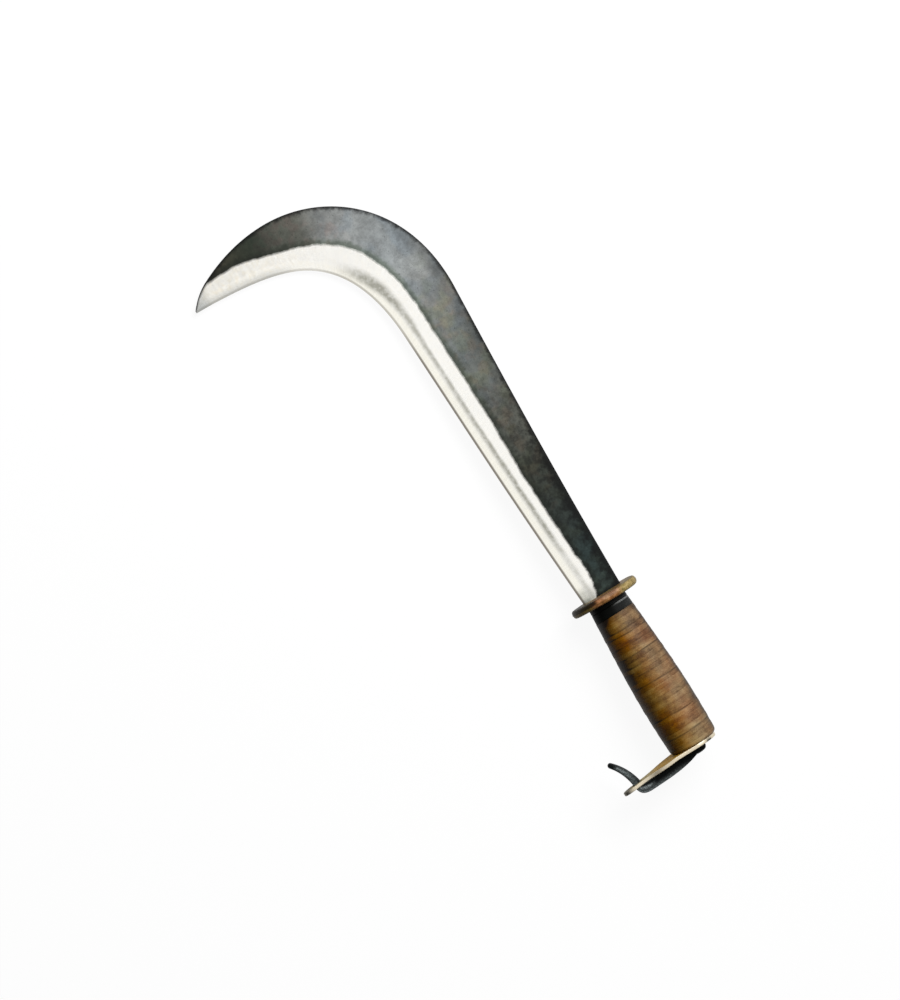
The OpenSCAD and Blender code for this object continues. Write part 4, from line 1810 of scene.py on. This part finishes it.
@dataclass
class Studio:
    """The camera, the lights and the pale card that the billhook rests on.

    The camera looks straight down on the blade's cheek. The card lies where the billhook settles.
    """

    aim: Place = (175.8, 56.4, 0.0)
    roll: float = 31.6
    distance: float = 1900.0
    view_h: float = 700.0
    sensor: float = 36.0
    clip_m: float = 50.0
    key_from: Place = (0.27, -0.50, 0.82)
    key_distance_m: float = 1.6
    key_size_m: float = 0.9
    key_watts: float = 30.8
    ambient: str = "#515151"
    seen: str = "#ffffff"
    # What reflections see, by the height of the way they look: a white tent, open above and dim below
    tent: Steps = (("height", Fade(0.9945, 0.9986, 1.0, 0.12)), ("height", Fade(0.3, 0.8, 0.15, 1.0)))
    balance: Place = (160.0, 10.0, 0.0)
    card_size_m: float = 4.0
    card_gap: float = 0.2
    shade: float = 0.085
    # The card's glow by the distance from its middle, in metres
    glow: Steps = (("far", Fade(0.5, 1.2, 0.93, 1.0)),)

    def camera(self) -> None:
        """Adds the camera, turned about its own axis so that the handle lies as it is held."""
        data = bpy.data.cameras.new("camera")
        data.sensor_width = self.sensor
        data.lens = self.sensor * self.distance / self.view_h
        data.clip_end = self.clip_m
        thing = bpy.data.objects.new("camera", data)
        tilt = np.radians(self.roll)
        right = Vector((-np.sin(tilt), -np.cos(tilt), 0.0))
        back = Vector((0.0, 0.0, 1.0))
        turn = Matrix((right, back.cross(right), back)).transposed()
        place = Vector(self.aim) * MM + back * self.distance * MM
        thing.matrix_world = Matrix.Translation(place) @ turn.to_4x4()
        bpy.context.scene.collection.objects.link(thing)
        bpy.context.scene.camera = thing

    def light(self) -> None:
        """Adds one large soft light from above the blade's spine."""
        data = bpy.data.lights.new("key", "AREA")
        data.size = self.key_size_m
        data.energy = self.key_watts
        thing = bpy.data.objects.new("key", data)
        way = Vector(self.key_from).normalized()
        thing.location = Vector(self.aim) * MM + way * self.key_distance_m
        thing.rotation_euler = way.to_track_quat("Z", "Y").to_euler()
        bpy.context.scene.collection.objects.link(thing)

    def surroundings(self) -> None:
        """Sets the surroundings: white to the camera, the tent to reflections, even grey to the rest."""
        world = bpy.data.worlds.new("tent")
        bpy.context.scene.world = world
        world.use_nodes = True
        world.node_tree.nodes.clear()
        add = partial(add_node, world.node_tree)
        path = add("LightPath").outputs
        way = add("SeparateXYZ", {0: add("TexCoord").outputs["Generated"]})
        tent = combine(add, {"height": way.outputs["Z"]}, self.tent)
        rays = {0: path["Is Glossy Ray"], 1: path["Is Transmission Ray"]}
        mirrored = add("Math", rays, operation="MAXIMUM")
        sides = {COLOUR_A: linear(self.ambient), COLOUR_B: tent}
        fill = add("Mix", {FACTOR: mirrored, **sides}, data_type="RGBA")
        sides = {COLOUR_A: fill, COLOUR_B: linear(self.seen)}
        sky = add("Mix", {FACTOR: path["Is Camera Ray"], **sides}, data_type="RGBA")
        add("OutputWorld", {"Surface": add("Background", {"Color": sky})})

    def rest(self, pieces: list[Thing]) -> tuple[Vector, Vector]:
        """Finds how the billhook settles: on the facet of its convex hull below its balance point.

        Args:
            pieces: The pieces that lie on the card.

        Returns:
            A point of the facet and the facet's upward normal.
        """
        places = [np.empty(len(piece.data.vertices) * 3, np.float32) for piece in pieces]
        for piece, flat in zip(pieces, places):
            piece.data.vertices.foreach_get("co", flat)
        cloud = bpy.data.meshes.new("cloud")
        cloud.from_pydata(np.concatenate(places).reshape(-1, 3).tolist(), [], [])
        work = bmesh.new()
        work.from_mesh(cloud)
        bmesh.ops.convex_hull(work, input=work.verts)
        hull = BVHTree.FromBMesh(work)
        work.free()
        bpy.data.meshes.remove(cloud)
        touch, normal, _, _ = hull.ray_cast(Vector(self.balance) * MM, Vector((0.0, 0.0, -1.0)))
        return touch, normal if normal.z > 0 else -normal

    def paper(self) -> bpy.types.Material:
        """Builds the card's finish: matt white paper that glows white to the camera and to reflections.

        Returns:
            The material.
        """
        material, add = new_material("white_card")
        path = add("LightPath").outputs
        rays = {0: path["Is Camera Ray"], 1: path["Is Glossy Ray"]}
        lit = add("Math", rays, operation="MAXIMUM")
        lit = add("Math", {0: lit, 1: path["Is Transmission Ray"]}, operation="MAXIMUM")
        far = add("VectorMath", {0: add("TexCoord").outputs["Object"]}, operation="LENGTH")
        glow = combine(add, {"far": far.outputs["Value"]}, self.glow, result=lit)
        matte = add("BsdfDiffuse", {"Color": (self.shade, self.shade, self.shade, 1.0)})
        light = add("Emission", {"Strength": glow})
        add("OutputMaterial", {"Surface": add("AddShader", {0: matte, 1: light})})
        return material

    def card(self, pieces: list[Thing]) -> None:
        """Lays a pale card under the billhook as it settles.

        Args:
            pieces: The pieces that lie on the card.
        """
        touch, up = self.rest(pieces)
        half = self.card_size_m / 2
        corners = [(-half, -half, 0), (half, -half, 0), (half, half, 0), (-half, half, 0)]
        mesh = bpy.data.meshes.new("card")
        mesh.from_pydata(corners, [], [(0, 1, 2, 3)])
        turn = up.to_track_quat("Z", "Y").to_matrix().to_4x4()
        mesh.transform(Matrix.Translation(touch - up * self.card_gap * MM) @ turn)
        mesh.materials.append(self.paper())
        thing = bpy.data.objects.new("card", mesh)
        bpy.context.scene.collection.objects.link(thing)
        LOG.info("card: tilted %.1f degrees", np.degrees(up.angle(Vector((0, 0, 1)))))

    def build(self, pieces: list[Thing]) -> None:
        """Sets up the whole studio round the pieces.

        Args:
            pieces: The pieces in view.
        """
        bpy.context.scene.view_settings.view_transform = "Standard"
        self.camera()
        self.light()
        self.surroundings()
        self.card(pieces)


def main() -> None:
    """Builds the billhook's pieces in order, then the studio round them."""
    logging.basicConfig(level=logging.INFO, format="%(name)s %(message)s")
    plate = PommelPlate()
    parts = Blade(), Grip(), Guard(), plate, BeltHook(plate)
    pieces = [thing for part in parts for thing in part.build()]
    Studio().build(pieces)


if __name__ == "__main__":
    main()
